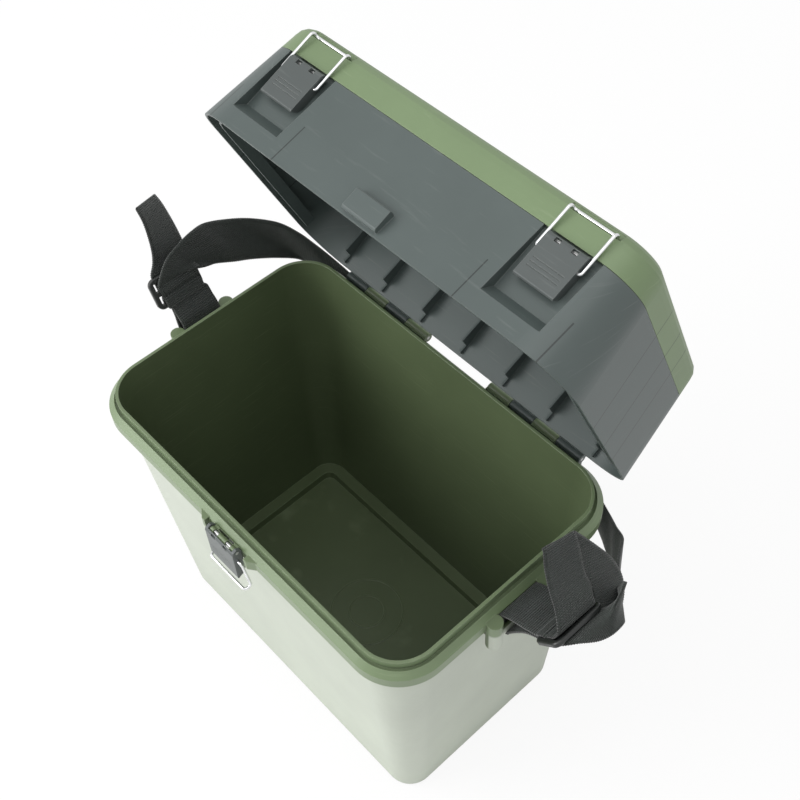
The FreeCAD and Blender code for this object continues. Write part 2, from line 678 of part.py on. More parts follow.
def make_cap():
    """Upper half of the lid, the seat, drawn shut."""
    outside = rounded_loft(cap_sections(0, CAP_Z, CAP_SIDE_TOP, CAP_TOP, CAP_ROUND))
    inside = rounded_loft(cap_sections(CAP_WALL, CAP_Z - 1, CAP_SIDE_TOP, CAP_TOP - CAP_TOP_THICK,
                                       CAP_ROUND - CAP_WALL))
    pieces = [outside.cut(inside)]
    panel_x = RIM_HALF_X - SEAT_PANEL_INSET
    panel_y = RIM_HALF_Y - SEAT_PANEL_INSET
    panel_r = RIM_CORNER - SEAT_PANEL_INSET / 2
    pieces.append(rounded_loft([
        (panel_x, panel_y, panel_r, CAP_TOP - 1),
        (panel_x, panel_y, panel_r, CAP_TOP + SEAT_PANEL_HEIGHT / 2),
        (panel_x - 1.2, panel_y - 1.2, panel_r - 1.2, CAP_TOP + SEAT_PANEL_HEIGHT),
    ]))
    pieces += cap_ribs(outside)
    for side in (-1, 1):
        centre = side * LATCH_OFFSET
        half = NOTCH_WIDTH / 2 + CAP_WALL
        block = box(centre - half, centre + half, -RIM_HALF_Y, notch_back_y() + CAP_WALL,
                    notch_bottom_z() - CAP_WALL, CAP_TOP - 1)
        pieces.append(block.common(outside))
    cap = fuse(pieces)
    for side in (-1, 1):
        centre = side * LATCH_OFFSET
        half = NOTCH_WIDTH / 2
        cap = cap.cut(box(centre - half, centre + half, -RIM_HALF_Y, notch_back_y(),
                          notch_bottom_z(), notch_bottom_z() + NOTCH_HEIGHT))
    cap = fuse([cap] + cap_knuckles(tray_side=False))
    return cap.cut(cap_pin_holes(FIT_GAP))


def bail_bar_height():
    return LID_PIN_Z - BAIL_PIVOT_DROP + BAIL_REACH


def notch_bottom_z():
    return bail_bar_height() - WIRE_RADIUS - SOFT_GAP


def notch_back_y():
    return LID_PIN_Y - BAIL_PIVOT_OUT + BAIL_HOOK + NOTCH_BACK


def cap_ribs(outside):
    pieces = []
    low = CAP_TOP - CAP_TOP_THICK - CAP_RIB_DEPTH
    high = CAP_TOP - 1
    half = CAP_RIB_THICK / 2
    inner = rounded_loft([lid_section(low - 1, CAP_ROUND + CAP_WALL), lid_section(high + 1, CAP_ROUND + CAP_WALL)])
    for x in (-105.0, -52.5, 0.0, 52.5, 105.0):
        pieces.append(box(x - half, x + half, -RIM_HALF_Y, RIM_HALF_Y, low, high).common(inner))
    for y in (-45.0, 0.0, 45.0):
        pieces.append(box(-RIM_HALF_X, RIM_HALF_X, y - half, y + half, low, high).common(inner))
    return pieces


def make_lever(pin):
    """Lever of a latch, shut and pointing down, with its pin's centre given."""
    half = LEVER_WIDTH / 2
    face = pin.y - LEVER_FACE
    bottom = pin.z - LEVER_LENGTH
    back = pin.y + LEVER_BACK
    plate_back = face + LEVER_PLATE
    plate = prism_x([
        (face, pin.z),
        (face + 0.8, pin.z + 2.2),
        (plate_back, pin.z + 2.8),
        (plate_back, bottom + 1.0),
        (face + 1.2, bottom),
        (face, bottom + 1.2),
    ], pin.x - half, pin.x + half)
    wall_profile = [
        (face + 0.5, pin.z + 1.0),
        (plate_back, pin.z + 2.8),
        (pin.y, pin.z + LEVER_BACK),
        (pin.y + 2.5, pin.z + 2.5),
        (back, pin.z),
        (back, bottom + 9.0),
        (back - 2.5, bottom + 3.0),
        (plate_back, bottom + 1.0),
        (face + 0.5, bottom + 2.0),
    ]
    lever = plate
    for side in (-1, 1):
        x0 = pin.x + side * half if side < 0 else pin.x + half - LEVER_WALL
        lever = lever.fuse(prism_x(wall_profile, x0, x0 + LEVER_WALL))
    for side in (-1, 1):
        x = pin.x + side * LEVER_WINDOW_OFFSET
        lever = lever.cut(box(x - LEVER_WINDOW / 2, x + LEVER_WINDOW / 2, face - 1, plate_back + 0.5,
                              pin.z - LEVER_WINDOW_HALF, pin.z + LEVER_WINDOW_HALF))
    grip_count = 3
    for index in range(grip_count):
        z = bottom + 9 + index * 3.2
        lever = lever.cut(box(pin.x - half + 4, pin.x + half - 4, face - 1, face + 0.4, z, z + 0.7))
    lever = lever.cut(pin_hole(pin, pin.x - half, pin.x + half, PIN_RADIUS + FIT_GAP))
    pivot = bail_pivot(pin)
    lever = lever.cut(pin_hole(pivot, pin.x - half, pin.x + half, WIRE_RADIUS + FIT_GAP))
    return lever.removeSplitter()


def bail_pivot(pin):
    return V(pin.x, pin.y - BAIL_PIVOT_OUT, pin.z - BAIL_PIVOT_DROP)


def wire_path(points, radii):
    """Straight runs through the points, with an arc of the given radius at each inner one."""
    edges = []
    last = points[0]
    for index in range(1, len(points) - 1):
        corner = points[index]
        into = corner.sub(points[index - 1]).normalize()
        out = points[index + 1].sub(corner).normalize()
        turn = into.getAngle(out)
        radius = radii[index - 1]
        setback = radius * math.tan(turn / 2)
        start = corner.sub(V(into).multiply(setback))
        end = corner.add(V(out).multiply(setback))
        inward = V(out).sub(into).normalize()
        middle = corner.add(inward.multiply(radius / math.cos(turn / 2) - radius))
        if last.distanceToPoint(start) > 1e-6:
            edges.append(Part.LineSegment(last, start).toShape())
        edges.append(Part.Arc(start, middle, end).toShape())
        last = end
    edges.append(Part.LineSegment(last, points[-1]).toShape())
    return Part.Wire(edges)


def swept_wire(points, radii, radius):
    path = wire_path(points, radii)
    start = points[0]
    direction = points[1].sub(points[0])
    circle = Part.Wire([Part.makeCircle(radius, start, direction)])
    return path.makePipeShell([circle], True, False).Solids[0]


def make_bail(pin, spread=0.0):
    """Wire bail, standing up from its pivots in the lever as when it is hooked."""
    pivot = bail_pivot(pin)
    leg = LEVER_WIDTH / 2 + SIDE_GAP + WIRE_RADIUS + spread
    tip = LEVER_WIDTH / 2 - BAIL_TAIL
    bar_z = pivot.z + BAIL_REACH
    points = [
        V(pin.x - tip, pivot.y, pivot.z),
        V(pin.x - leg, pivot.y, pivot.z),
        V(pin.x - leg, pivot.y, bar_z),
        V(pin.x - leg, pivot.y + BAIL_HOOK, bar_z),
        V(pin.x + leg, pivot.y + BAIL_HOOK, bar_z),
        V(pin.x + leg, pivot.y, bar_z),
        V(pin.x + leg, pivot.y, pivot.z),
        V(pin.x + tip, pivot.y, pivot.z),
    ]
    foot = 2.0
    radii = [foot, BAIL_BEND, BAIL_BEND, BAIL_BEND, BAIL_BEND, foot]
    return swept_wire(points, radii, WIRE_RADIUS)


def latch_pin(pin):
    half = LEVER_WIDTH / 2
    return rod(V(pin.x - half, pin.y, pin.z), V(pin.x + half, pin.y, pin.z), PIN_RADIUS)


def ribbon(stations, thickness):
    """Flat webbing through (left edge, right edge) pairs, as a closed solid."""
    wires = []
    count = len(stations)
    for index in range(count):
        left, right = stations[index]
        before = stations[max(index - 1, 0)]
        after = stations[min(index + 1, count - 1)]
        run = after[0].add(after[1]).sub(before[0]).sub(before[1])
        across = right.sub(left)
        normal = across.cross(run).normalize().multiply(thickness / 2)
        corners = [left.add(normal), right.add(normal), right.sub(normal), left.sub(normal)]
        wires.append(Part.makePolygon(corners + [corners[0]]))
    return Part.makeLoft(wires, True, True)


def slider_frame(place, tilt):
    """Centre, direction across the slider and the direction it faces."""
    across = V(math.cos(math.radians(tilt)), 0, math.sin(math.radians(tilt)))
    facing = V(-across.z, 0, across.x)
    return V(*place), across, facing


def make_slider(place, tilt):
    """Flat buckle with two slots, its bars along Y."""
    long_half = SLIDER_LENGTH / 2
    wide_half = SLIDER_WIDTH / 2
    plate = rounded_loft([
        (long_half - 0.8, wide_half - 0.8, 5.2, -SLIDER_THICK / 2),
        (long_half, wide_half, 6.0, -SLIDER_THICK / 2 + 0.8),
        (long_half, wide_half, 6.0, SLIDER_THICK / 2 - 0.8),
        (long_half - 0.8, wide_half - 0.8, 5.2, SLIDER_THICK / 2),
    ])
    slot_x = long_half - SLIDER_BAR
    for side in (-1, 1):
        inner = side * SLIDER_BAR / 2
        outer = side * (wide_half - SLIDER_BAR)
        plate = plate.cut(box(-slot_x, slot_x, min(inner, outer), max(inner, outer),
                              -SLIDER_THICK, SLIDER_THICK))
    plate.rotate(V(0, 0, 0), Z_AXIS, 90)
    plate.rotate(V(0, 0, 0), Y_AXIS, -tilt)
    centre = slider_frame(place, tilt)[0]
    plate.translate(centre)
    return plate


def straight_stations(points_xz, middle=0.0):
    """Edge pairs of webbing that lies square to the box's end."""
    half = STRAP_WIDTH / 2
    return [(V(x, middle - half, z), V(x, middle + half, z)) for x, z in points_xz]


def edge_stations(pairs):
    return [(V(*first), V(*second)) for first, second in pairs]


def anchor_loop(side, place, tilt):
    """Webbing from the slider, down behind the lug's bar, round it and back up."""
    centre, across, facing = slider_frame(place, tilt)
    layer = STRAP_THICK / 2 + 0.1
    end = centre.sub(V(across).multiply(SLIDER_WIDTH / 2 + 2 * SOFT_GAP))
    inward = V(facing).multiply(layer if facing.x * side < 0 else -layer)
    upper_end = end.add(inward)
    lower_end = end.sub(inward)
    wrap = LUG_BAR_RADIUS + STRAP_PASS / 2
    bar_x = LUG_BAR_X
    gap_x = bar_x - wrap
    upper = [(side * upper_end.x, upper_end.z)]
    lower = [(side * lower_end.x, lower_end.z)]
    reach = upper[0][0] - gap_x
    rise = upper[0][1] - (SKIRT_TOP + 3.0)
    upper.append((gap_x + 0.62 * reach, SKIRT_TOP + 3.0 + 0.58 * rise))
    upper.append((gap_x + 0.28 * reach, SKIRT_TOP + 3.0 + 0.26 * rise))
    upper.append((gap_x + 1.2, SKIRT_TOP + 1.2))
    upper.append((gap_x, SKIRT_TOP - 3.0))
    turn = []
    for step in range(7):
        angle = math.radians(180 + 30 * step)
        turn.append((bar_x + wrap * math.cos(angle), LUG_BAR_Z + wrap * math.sin(angle)))
    shift_x = lower[0][0] - upper[0][0]
    shift_z = lower[0][1] - upper[0][1]
    back = [(upper[2][0] + 1.6 * shift_x + 3.5, upper[2][1] + 1.6 * shift_z - 6.5),
            (upper[1][0] + 1.2 * shift_x + 0.8, upper[1][1] + 1.2 * shift_z - 1.4)]
    path = upper + turn + back + lower
    return straight_stations([(side * x, z) for x, z in path])


def on_slider(place, tilt, facing_side, across_offsets):
    """Edge pairs of webbing lying flat on one face of a slider."""
    centre, across, facing = slider_frame(place, tilt)
    lift = V(facing).multiply(facing_side * (SLIDER_THICK / 2 + STRAP_THICK / 2 + 0.05))
    points = []
    for offset in across_offsets:
        point = centre.add(V(across).multiply(offset)).add(lift)
        points.append((point.x, point.z))
    return straight_stations(points, centre.y / 2)


def swapped(stations):
    return [(second, first) for first, second in stations]


def make_straps():
    right = (SLIDER_RIGHT, SLIDER_RIGHT_TILT)
    left = (SLIDER_LEFT, SLIDER_LEFT_TILT)
    save("strap_slider_right", make_slider(*right))
    save("strap_slider_left", make_slider(*left))
    save("strap_anchor_right", ribbon(anchor_loop(1, *right), STRAP_THICK))
    save("strap_anchor_left", ribbon(anchor_loop(-1, *left), STRAP_THICK))
    tail = on_slider(*right, 1, (-2.0, 6.0)) + edge_stations(TAIL_RIGHT)
    save("strap_tail_right", ribbon(tail, STRAP_THICK))
    tail = on_slider(*left, 1, (-2.0, 6.0, 15.5)) + edge_stations(TAIL_LEFT)
    save("strap_tail_left", ribbon(tail, STRAP_THICK))
    run = on_slider(*right, -1, (-2.0, 8.0)) + edge_stations(RUN_RIGHT)
    save("strap_run_right", ribbon(run, STRAP_THICK))
    run = swapped(on_slider(*left, -1, (-2.0, 8.0))) + edge_stations(RUN_LEFT)
    save("strap_run_left", ribbon(run, STRAP_THICK))
    rear = edge_stations(RUN_REAR)
    save("strap_run_rear", ribbon(rear, STRAP_THICK))


def save(name, shape):
    solids = shape.Solids
    if not solids:
        raise RuntimeError(name + " has no solid")
    if not shape.isValid():
        print("not valid:", name)
    NODES[name] = shape
    shape.exportStep("parts/" + name + ".step")
    print(name, len(solids), round(shape.Volume / 1000, 2), "cm3")


def main():
    os.makedirs("parts", exist_ok=True)
    save("bin", make_bin())
    pin_end = KNUCKLE_START + KNUCKLE_COUNT * (KNUCKLE_LENGTH + KNUCKLE_GAP) - KNUCKLE_GAP
    save("lid_hinge_pins", Part.makeCompound(hinge_pins(HINGE, KNUCKLE_START, pin_end, PIN_RADIUS)))

    save("lid_tray", turned(make_tray(), HINGE, -OPEN_ANGLE))
    save("seat_cap", turned(make_cap(), HINGE, -OPEN_ANGLE))
    inner, outer = cap_pin_spans()
    cap_pins = Part.makeCompound(hinge_pins(CAP_HINGE, inner, outer, PIN_RADIUS))
    save("cap_hinge_pins", turned(cap_pins, HINGE, -OPEN_ANGLE))

    lid_latch_pins = []
    for name, side in (("left", -1), ("right", 1)):
        pin = V(side * LATCH_OFFSET, LID_PIN_Y, LID_PIN_Z)
        save("latch_lever_" + name, turned(make_lever(pin), HINGE, -OPEN_ANGLE))
        save("latch_bail_" + name, turned(make_bail(pin), HINGE, -OPEN_ANGLE))
        lid_latch_pins.append(latch_pin(pin))
    save("lid_latch_pins", turned(Part.makeCompound(lid_latch_pins), HINGE, -OPEN_ANGLE))

    pin = V(0, FRONT_PIN_Y, FRONT_PIN_Z)
    save("latch_lever_front", make_lever(pin))
    save("latch_pin_front", latch_pin(pin))
    standing = make_bail(pin, FRONT_BAIL_SPREAD)
    pivot = bail_pivot(pin)
    weight = standing.CenterOfMass.sub(pivot)
    hang_angle = 270.0 - math.degrees(math.atan2(weight.z, weight.y))
    print("front bail hangs", round(hang_angle, 2), "degrees from standing")
    save("latch_bail_front", turned(standing, pivot, hang_angle))
    make_straps()


main()
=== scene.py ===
# %% [markdown]
# Seat box for fishing, dressed in Blender.
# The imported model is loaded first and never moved. Everything else is built around it, in metres,
# with +Z up and the box standing on z = 0. The lid is drawn open, as it stands at rest.

# %% Load the fixed frame
import math

import bpy
from mathutils import Matrix, Vector


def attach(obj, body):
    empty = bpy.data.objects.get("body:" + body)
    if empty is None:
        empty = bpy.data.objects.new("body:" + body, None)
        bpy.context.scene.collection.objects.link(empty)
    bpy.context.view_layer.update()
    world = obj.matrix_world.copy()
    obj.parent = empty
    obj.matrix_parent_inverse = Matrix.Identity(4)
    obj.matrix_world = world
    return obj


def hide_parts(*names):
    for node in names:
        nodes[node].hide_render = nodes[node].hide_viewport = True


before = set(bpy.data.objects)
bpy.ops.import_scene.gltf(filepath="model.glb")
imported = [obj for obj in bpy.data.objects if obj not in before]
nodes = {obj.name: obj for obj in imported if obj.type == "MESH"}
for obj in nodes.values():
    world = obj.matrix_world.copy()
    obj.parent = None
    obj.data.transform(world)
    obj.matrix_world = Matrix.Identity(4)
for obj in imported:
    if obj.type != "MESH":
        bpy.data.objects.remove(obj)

MM = 0.001
BOX_MIDDLE = Vector((0.0, 0.0, 0.2))
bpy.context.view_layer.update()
print("nodes in the frame:", len(nodes))

# %% [markdown]
# The camera looks down at the open box from its front right corner. Its place and turn were solved
# from the straight edges of the box. A matrix built from three directions sets it exactly.

# %% Camera
CAMERA_PLACE = Vector((0.4718, -0.3381, 1.0872))
CAMERA_FORWARD = Vector((-0.4670, 0.3920, -0.7920)).normalized()
CAMERA_UP = Vector((-0.5670, 0.5540, 0.6090))
CAMERA_LENS = 56.2

camera_data = bpy.data.cameras.new("seat_box_camera")
camera_data.lens = CAMERA_LENS
camera_data.sensor_width = 36.0
camera_data.clip_end = 50.0
camera = bpy.data.objects.new("seat_box_camera", camera_data)
right = CAMERA_FORWARD.cross(CAMERA_UP).normalized()
up = right.cross(CAMERA_FORWARD).normalized()
turn = Matrix((right, up, -CAMERA_FORWARD)).transposed().to_4x4()
camera.matrix_world = Matrix.Translation(CAMERA_PLACE) @ turn
bpy.context.scene.collection.objects.link(camera)
bpy.context.scene.camera = camera
print("camera to the box's middle in m:", round((CAMERA_PLACE - BOX_MIDDLE).length, 3))

# %% [markdown]
# Soft light comes from a pale room, a wide lamp at the front left and a weaker one above. The floor
# is white, and keeps a soft shadow of the box, because a share of plain white is mixed in where the
# camera sees it. The world is white where the camera or a glossy surface sees it, so that chrome has
# something bright to mirror, and weaker where it only lights.

# %% Light, floor and world
ROOM_LIGHT = 0.70
KEY_POWER = 30.0
KEY_PLACE = (-1.1, -1.5, 1.3)
KEY_SIZE = 1.4
TOP_POWER = 12.0
TOP_PLACE = (0.3, -0.2, 2.4)
TOP_SIZE = 1.6
FLOOR_SIZE = 12.0
FLOOR_COLOUR = (0.93, 0.93, 0.93, 1.0)
FLOOR_ROUGHNESS = 0.9
FLOOR_WHITE = 0.88
PURE_WHITE = (1.0, 1.0, 1.0, 1.0)

scene = bpy.context.scene
scene.view_settings.view_transform = "Standard"


def add_node(tree, kind, settings=None, values=None):
    """New node with its settings and its unlinked inputs filled in."""
    made = tree.nodes.new(kind)
    for key, value in (settings or {}).items():
        setattr(made, key, value)
    for key, value in (values or {}).items():
        made.inputs[key].default_value = value
    return made


def join(tree, source, target):
    tree.links.new(source, target)


world = bpy.data.worlds.new("pale_room")
world.use_nodes = True
scene.world = world
room = world.node_tree
room.nodes.clear()
ray = add_node(room, "ShaderNodeLightPath")
seen = add_node(room, "ShaderNodeMath", {"operation": "MAXIMUM"})
mirrored = add_node(room, "ShaderNodeMath", {"operation": "MAXIMUM"})
strength = add_node(room, "ShaderNodeMapRange", values={"To Min": ROOM_LIGHT, "To Max": 1.0})
backdrop = add_node(room, "ShaderNodeBackground", values={"Color": PURE_WHITE})
room_out = add_node(room, "ShaderNodeOutputWorld")
join(room, ray.outputs["Is Camera Ray"], seen.inputs[0])
join(room, ray.outputs["Is Glossy Ray"], seen.inputs[1])
join(room, seen.outputs[0], mirrored.inputs[0])
join(room, ray.outputs["Is Transmission Ray"], mirrored.inputs[1])
join(room, mirrored.outputs[0], strength.inputs["Value"])
join(room, strength.outputs["Result"], backdrop.inputs["Strength"])
join(room, backdrop.outputs[0], room_out.inputs[0])


def add_lamp(name, place, target, size, power):
    """Square soft lamp aimed at a point."""
    data = bpy.data.lights.new(name, "AREA")
    data.shape = "SQUARE"
    data.size = size
    data.energy = power
    lamp = bpy.data.objects.new(name, data)
    lamp.location = place
    aim = (Vector(target) - Vector(place)).normalized()
    lamp.rotation_euler = aim.to_track_quat("-Z", "Y").to_euler()
    scene.collection.objects.link(lamp)
    return lamp


add_lamp("front_left_lamp", KEY_PLACE, BOX_MIDDLE, KEY_SIZE, KEY_POWER)
add_lamp("top_lamp", TOP_PLACE, BOX_MIDDLE, TOP_SIZE, TOP_POWER)

bpy.ops.mesh.primitive_plane_add(size=FLOOR_SIZE, location=(0, 0, 0))
floor = bpy.context.object
floor.name = "floor"
floor_look = bpy.data.materials.new("white_floor")
floor_look.use_nodes = True
ground = floor_look.node_tree
matt = ground.nodes["Principled BSDF"]
matt.inputs["Base Color"].default_value = FLOOR_COLOUR
matt.inputs["Roughness"].default_value = FLOOR_ROUGHNESS
floor_ray = add_node(ground, "ShaderNodeLightPath")
share = add_node(ground, "ShaderNodeMath", {"operation": "MULTIPLY"})
share.inputs[1].default_value = FLOOR_WHITE
white = add_node(ground, "ShaderNodeEmission", values={"Color": PURE_WHITE})
paper = add_node(ground, "ShaderNodeMixShader")
join(ground, floor_ray.outputs["Is Camera Ray"], share.inputs[0])
join(ground, share.outputs[0], paper.inputs[0])
join(ground, matt.outputs[0], paper.inputs[1])
join(ground, white.outputs[0], paper.inputs[2])
join(ground, paper.outputs[0], ground.nodes["Material Output"].inputs["Surface"])
floor.data.materials.append(floor_look)
print("lamps:", len(bpy.data.lights), "floor size in m:", FLOOR_SIZE)

# %% [markdown]
# Moulded plastic is never one flat colour. The pigment drifts a little across a wide wall, the
# tool's fine grain breaks up the shine, and edges are painted paler, partly as rubbing and partly as a
# painted highlight along them. One function makes the look, and each finish calls it with its own
# values. The grain reads Object coordinates, so it stays in place when a part turns on its hinge.

# %% Moulded plastic
CLOUD_SCALE = 7.0
CLOUD_LOW = 0.3
CLOUD_HIGH = 0.7
DRAG_STRETCH = (26.0, 26.0, 900.0)
DRAG_STARTS = 0.62
DRAG_FULL = 0.80
DRAG_STRENGTH = 0.25
SHINIER_BY = 0.06
DULLER_BY = 0.08
GRAIN_SCALE = 1500.0
GRAIN_DEPTH = 0.3 * MM
EDGE_WIDTH = 0.9 * MM
EDGE_STARTS = 0.995
EDGE_FULL = 0.80


def tinted(colour, factor):
    """Colour times a factor, with its alpha."""
    return tuple(min(channel * factor, 1.0) for channel in colour) + (1.0,)


def moulded_plastic(name, colour, rubbed_and_highlight, roughness, drift=0.10, edge_wear_and_highlight=0.55, grain=0.10, zones=None):
    """Satin plastic with drifting pigment, fine grain, faint drag marks, and paler edges that are partly
    wear and partly painted highlight.
    """
    look = bpy.data.materials.new(name)
    look.use_nodes = True
    tree = look.node_tree
    shader = tree.nodes["Principled BSDF"]
    place = add_node(tree, "ShaderNodeTexCoord")
    cloud = add_node(tree, "ShaderNodeTexNoise",
                     values={"Scale": CLOUD_SCALE, "Detail": 5.0, "Roughness": 0.6})
    join(tree, place.outputs["Object"], cloud.inputs["Vector"])
    depth = add_node(tree, "ShaderNodeMapRange",
                     values={"From Min": CLOUD_LOW, "From Max": CLOUD_HIGH,
                             "To Min": 1.0 - drift, "To Max": 1.0 + drift})
    join(tree, cloud.outputs["Fac"], depth.inputs["Value"])
    pigment = add_node(tree, "ShaderNodeHueSaturation", values={"Color": tinted(colour, 1.0)})
    join(tree, depth.outputs["Result"], pigment.inputs["Value"])
    if zones:
        join(tree, zones(tree, place.outputs["Object"]), pigment.inputs["Color"])

    stretch = add_node(tree, "ShaderNodeMapping", values={"Scale": DRAG_STRETCH})
    join(tree, place.outputs["Object"], stretch.inputs["Vector"])
    drag = add_node(tree, "ShaderNodeTexNoise", values={"Scale": 1.0, "Detail": 3.0})
    join(tree, stretch.outputs["Vector"], drag.inputs["Vector"])
    marks = add_node(tree, "ShaderNodeMapRange",
                     values={"From Min": DRAG_STARTS, "From Max": DRAG_FULL, "To Max": DRAG_STRENGTH})
    join(tree, drag.outputs["Fac"], marks.inputs["Value"])
    scuffed = add_node(tree, "ShaderNodeMix", {"data_type": "RGBA"}, {7: tinted(rubbed_and_highlight, 1.0)})
    join(tree, marks.outputs["Result"], scuffed.inputs["Factor"])
    join(tree, pigment.outputs["Color"], scuffed.inputs[6])

    # Paler edges: partly rubbing, partly a painted highlight along each edge.
    soft = add_node(tree, "ShaderNodeBevel", {"samples": 4}, {"Radius": EDGE_WIDTH})
    shape = add_node(tree, "ShaderNodeNewGeometry")
    alike = add_node(tree, "ShaderNodeVectorMath", {"operation": "DOT_PRODUCT"})
    join(tree, soft.outputs["Normal"], alike.inputs[0])
    join(tree, shape.outputs["Normal"], alike.inputs[1])
    edge = add_node(tree, "ShaderNodeMapRange",
                    values={"From Min": EDGE_STARTS, "From Max": EDGE_FULL, "To Max": edge_wear_and_highlight})
    join(tree, alike.outputs["Value"], edge.inputs["Value"])
    worn_and_lit_edges = add_node(tree, "ShaderNodeMix", {"data_type": "RGBA"}, {7: tinted(rubbed_and_highlight, 1.0)})
    join(tree, edge.outputs["Result"], worn_and_lit_edges.inputs["Factor"])
    join(tree, scuffed.outputs[2], worn_and_lit_edges.inputs[6])
    join(tree, worn_and_lit_edges.outputs[2], shader.inputs["Base Color"])

    shine = add_node(tree, "ShaderNodeMapRange",
                     values={"To Min": roughness - SHINIER_BY, "To Max": roughness + DULLER_BY})
    join(tree, cloud.outputs["Fac"], shine.inputs["Value"])
    join(tree, shine.outputs["Result"], shader.inputs["Roughness"])

    tooth = add_node(tree, "ShaderNodeTexNoise", values={"Scale": GRAIN_SCALE, "Detail": 2.0})
    join(tree, place.outputs["Object"], tooth.inputs["Vector"])
    bump = add_node(tree, "ShaderNodeBump", values={"Strength": grain, "Distance": GRAIN_DEPTH})
    join(tree, tooth.outputs["Fac"], bump.inputs["Height"])
    join(tree, soft.outputs["Normal"], bump.inputs["Normal"])
    join(tree, bump.outputs["Normal"], shader.inputs["Normal"])
    return look


# %% [markdown]
# The bin is one moulding. Its outer walls are painted pale, as painted glare of the white room on
# them, its inside is painted dark, as painted shade in the box, and the rim between them is a clean mid
# green. The three zones are told apart by the way a face looks, outwards or inwards, and by its
# height, so no edge has to be painted by hand.

# %% Zones of the bin: painted glare and shade
OUTER_GLARE_GREEN = (0.46, 0.50, 0.42)
BIN_GREEN = (0.165, 0.225, 0.120)
INNER_SHADE_GREEN = (0.105, 0.140, 0.070)
RIM_BOTTOM = 268.5 * MM
RIM_SOFTNESS = 1.5 * MM
WALL_STRETCH = (1.0, 1.6, 0.0)
OUTWARD_STARTS = 0.25
OUTWARD_FULL = 0.45


def bin_glare_and_shade_zones(tree, position):
    """Colour by zone: painted glare outside, painted shade inside, clean rim."""
    flat = add_node(tree, "ShaderNodeVectorMath", {"operation": "MULTIPLY"})
    flat.inputs[1].default_value = WALL_STRETCH
    join(tree, position, flat.inputs[0])
    away = add_node(tree, "ShaderNodeVectorMath", {"operation": "NORMALIZE"})
    join(tree, flat.outputs[0], away.inputs[0])
    shape = add_node(tree, "ShaderNodeNewGeometry")
    facing = add_node(tree, "ShaderNodeVectorMath", {"operation": "DOT_PRODUCT"})
    join(tree, away.outputs[0], facing.inputs[0])
    join(tree, shape.outputs["Normal"], facing.inputs[1])
    outside = add_node(tree, "ShaderNodeMapRange",
                       values={"From Min": OUTWARD_STARTS, "From Max": OUTWARD_FULL})
    join(tree, facing.outputs["Value"], outside.inputs["Value"])
    parts = add_node(tree, "ShaderNodeSeparateXYZ")
    join(tree, position, parts.inputs[0])
    low = add_node(tree, "ShaderNodeMapRange", values={"From Min": RIM_BOTTOM + RIM_SOFTNESS,
                                                       "From Max": RIM_BOTTOM - RIM_SOFTNESS})
    join(tree, parts.outputs["Z"], low.inputs["Value"])
    inward = add_node(tree, "ShaderNodeMapRange",
                      values={"From Min": OUTWARD_STARTS, "From Max": -OUTWARD_STARTS})
    join(tree, facing.outputs["Value"], inward.inputs["Value"])
    # Faces below the rim and faces that look inwards get the darker green, as painted shade inside the
    # box.
    shade_share = add_node(tree, "ShaderNodeMath", {"operation": "MAXIMUM"})
    join(tree, low.outputs["Result"], shade_share.inputs[0])
    join(tree, inward.outputs["Result"], shade_share.inputs[1])
    shaded_inside = add_node(tree, "ShaderNodeMix", {"data_type": "RGBA"},
                     {6: tinted(BIN_GREEN, 1.0), 7: tinted(INNER_SHADE_GREEN, 1.0)})
    join(tree, shade_share.outputs[0], shaded_inside.inputs["Factor"])
    # Outer faces below the rim are painted paler, as painted glare of the white room.
    whole = add_node(tree, "ShaderNodeMix", {"data_type": "RGBA"}, {7: tinted(OUTER_GLARE_GREEN, 1.0)})
    glare_share = add_node(tree, "ShaderNodeMath", {"operation": "MULTIPLY"})
    join(tree, outside.outputs["Result"], glare_share.inputs[0])
    join(tree, low.outputs["Result"], glare_share.inputs[1])
    join(tree, glare_share.outputs[0], whole.inputs["Factor"])
    join(tree, shaded_inside.outputs[2], whole.inputs[6])
    return whole.outputs[2]


print("rim colour starts at height in m:", RIM_BOTTOM)

# %% [markdown]
# The ends of the lid carry fine upright witness lines, and a parting line runs down the front on each
# side of a latch. They are drawn as thin dark bands in the lid's own coordinates, so the shader
# first turns the open lid's Object coordinates back to the shut position.

# %% Witness lines on the lid
LID_OPEN = 66.3
LID_HINGE = (0.0, 124.3 * MM, 279.0 * MM)
END_STARTS = 174.5 * MM
END_LINES = (-34.0 * MM, 4.0 * MM, 35.0 * MM)
FRONT_STARTS = -100.0 * MM
FRONT_LINES = (90.0 * MM, 162.0 * MM)
LINE_WIDTH = 1.0 * MM
LINE_SHADE = 0.30
POCKET_BOTTOM = 316.0 * MM
NO_FRONT_LINES = 0.0


def band(tree, value, centre, width):
    """One where the value is within half a width of the centre, else zero."""
    near = add_node(tree, "ShaderNodeMath", {"operation": "COMPARE"})
    near.inputs[1].default_value = centre
    near.inputs[2].default_value = width / 2
    join(tree, value, near.inputs[0])
    return near.outputs[0]


def highest(tree, values):
    """Largest of several values."""
    top = values[0]
    for value in values[1:]:
        node = add_node(tree, "ShaderNodeMath", {"operation": "MAXIMUM"})
        join(tree, top, node.inputs[0])
        join(tree, value, node.inputs[1])
        top = node.outputs[0]
    return top


def both(tree, first, second):
    """One where two values are one, else zero."""
    node = add_node(tree, "ShaderNodeMath", {"operation": "MULTIPLY"})
    join(tree, first, node.inputs[0])
    join(tree, second, node.inputs[1])
    return node.outputs[0]


def compared(tree, value, kind, limit):
    """One where the value is past the limit, on the side that the kind names."""
    node = add_node(tree, "ShaderNodeMath", {"operation": kind})
    node.inputs[1].default_value = limit
    join(tree, value, node.inputs[0])
    return node.outputs[0]


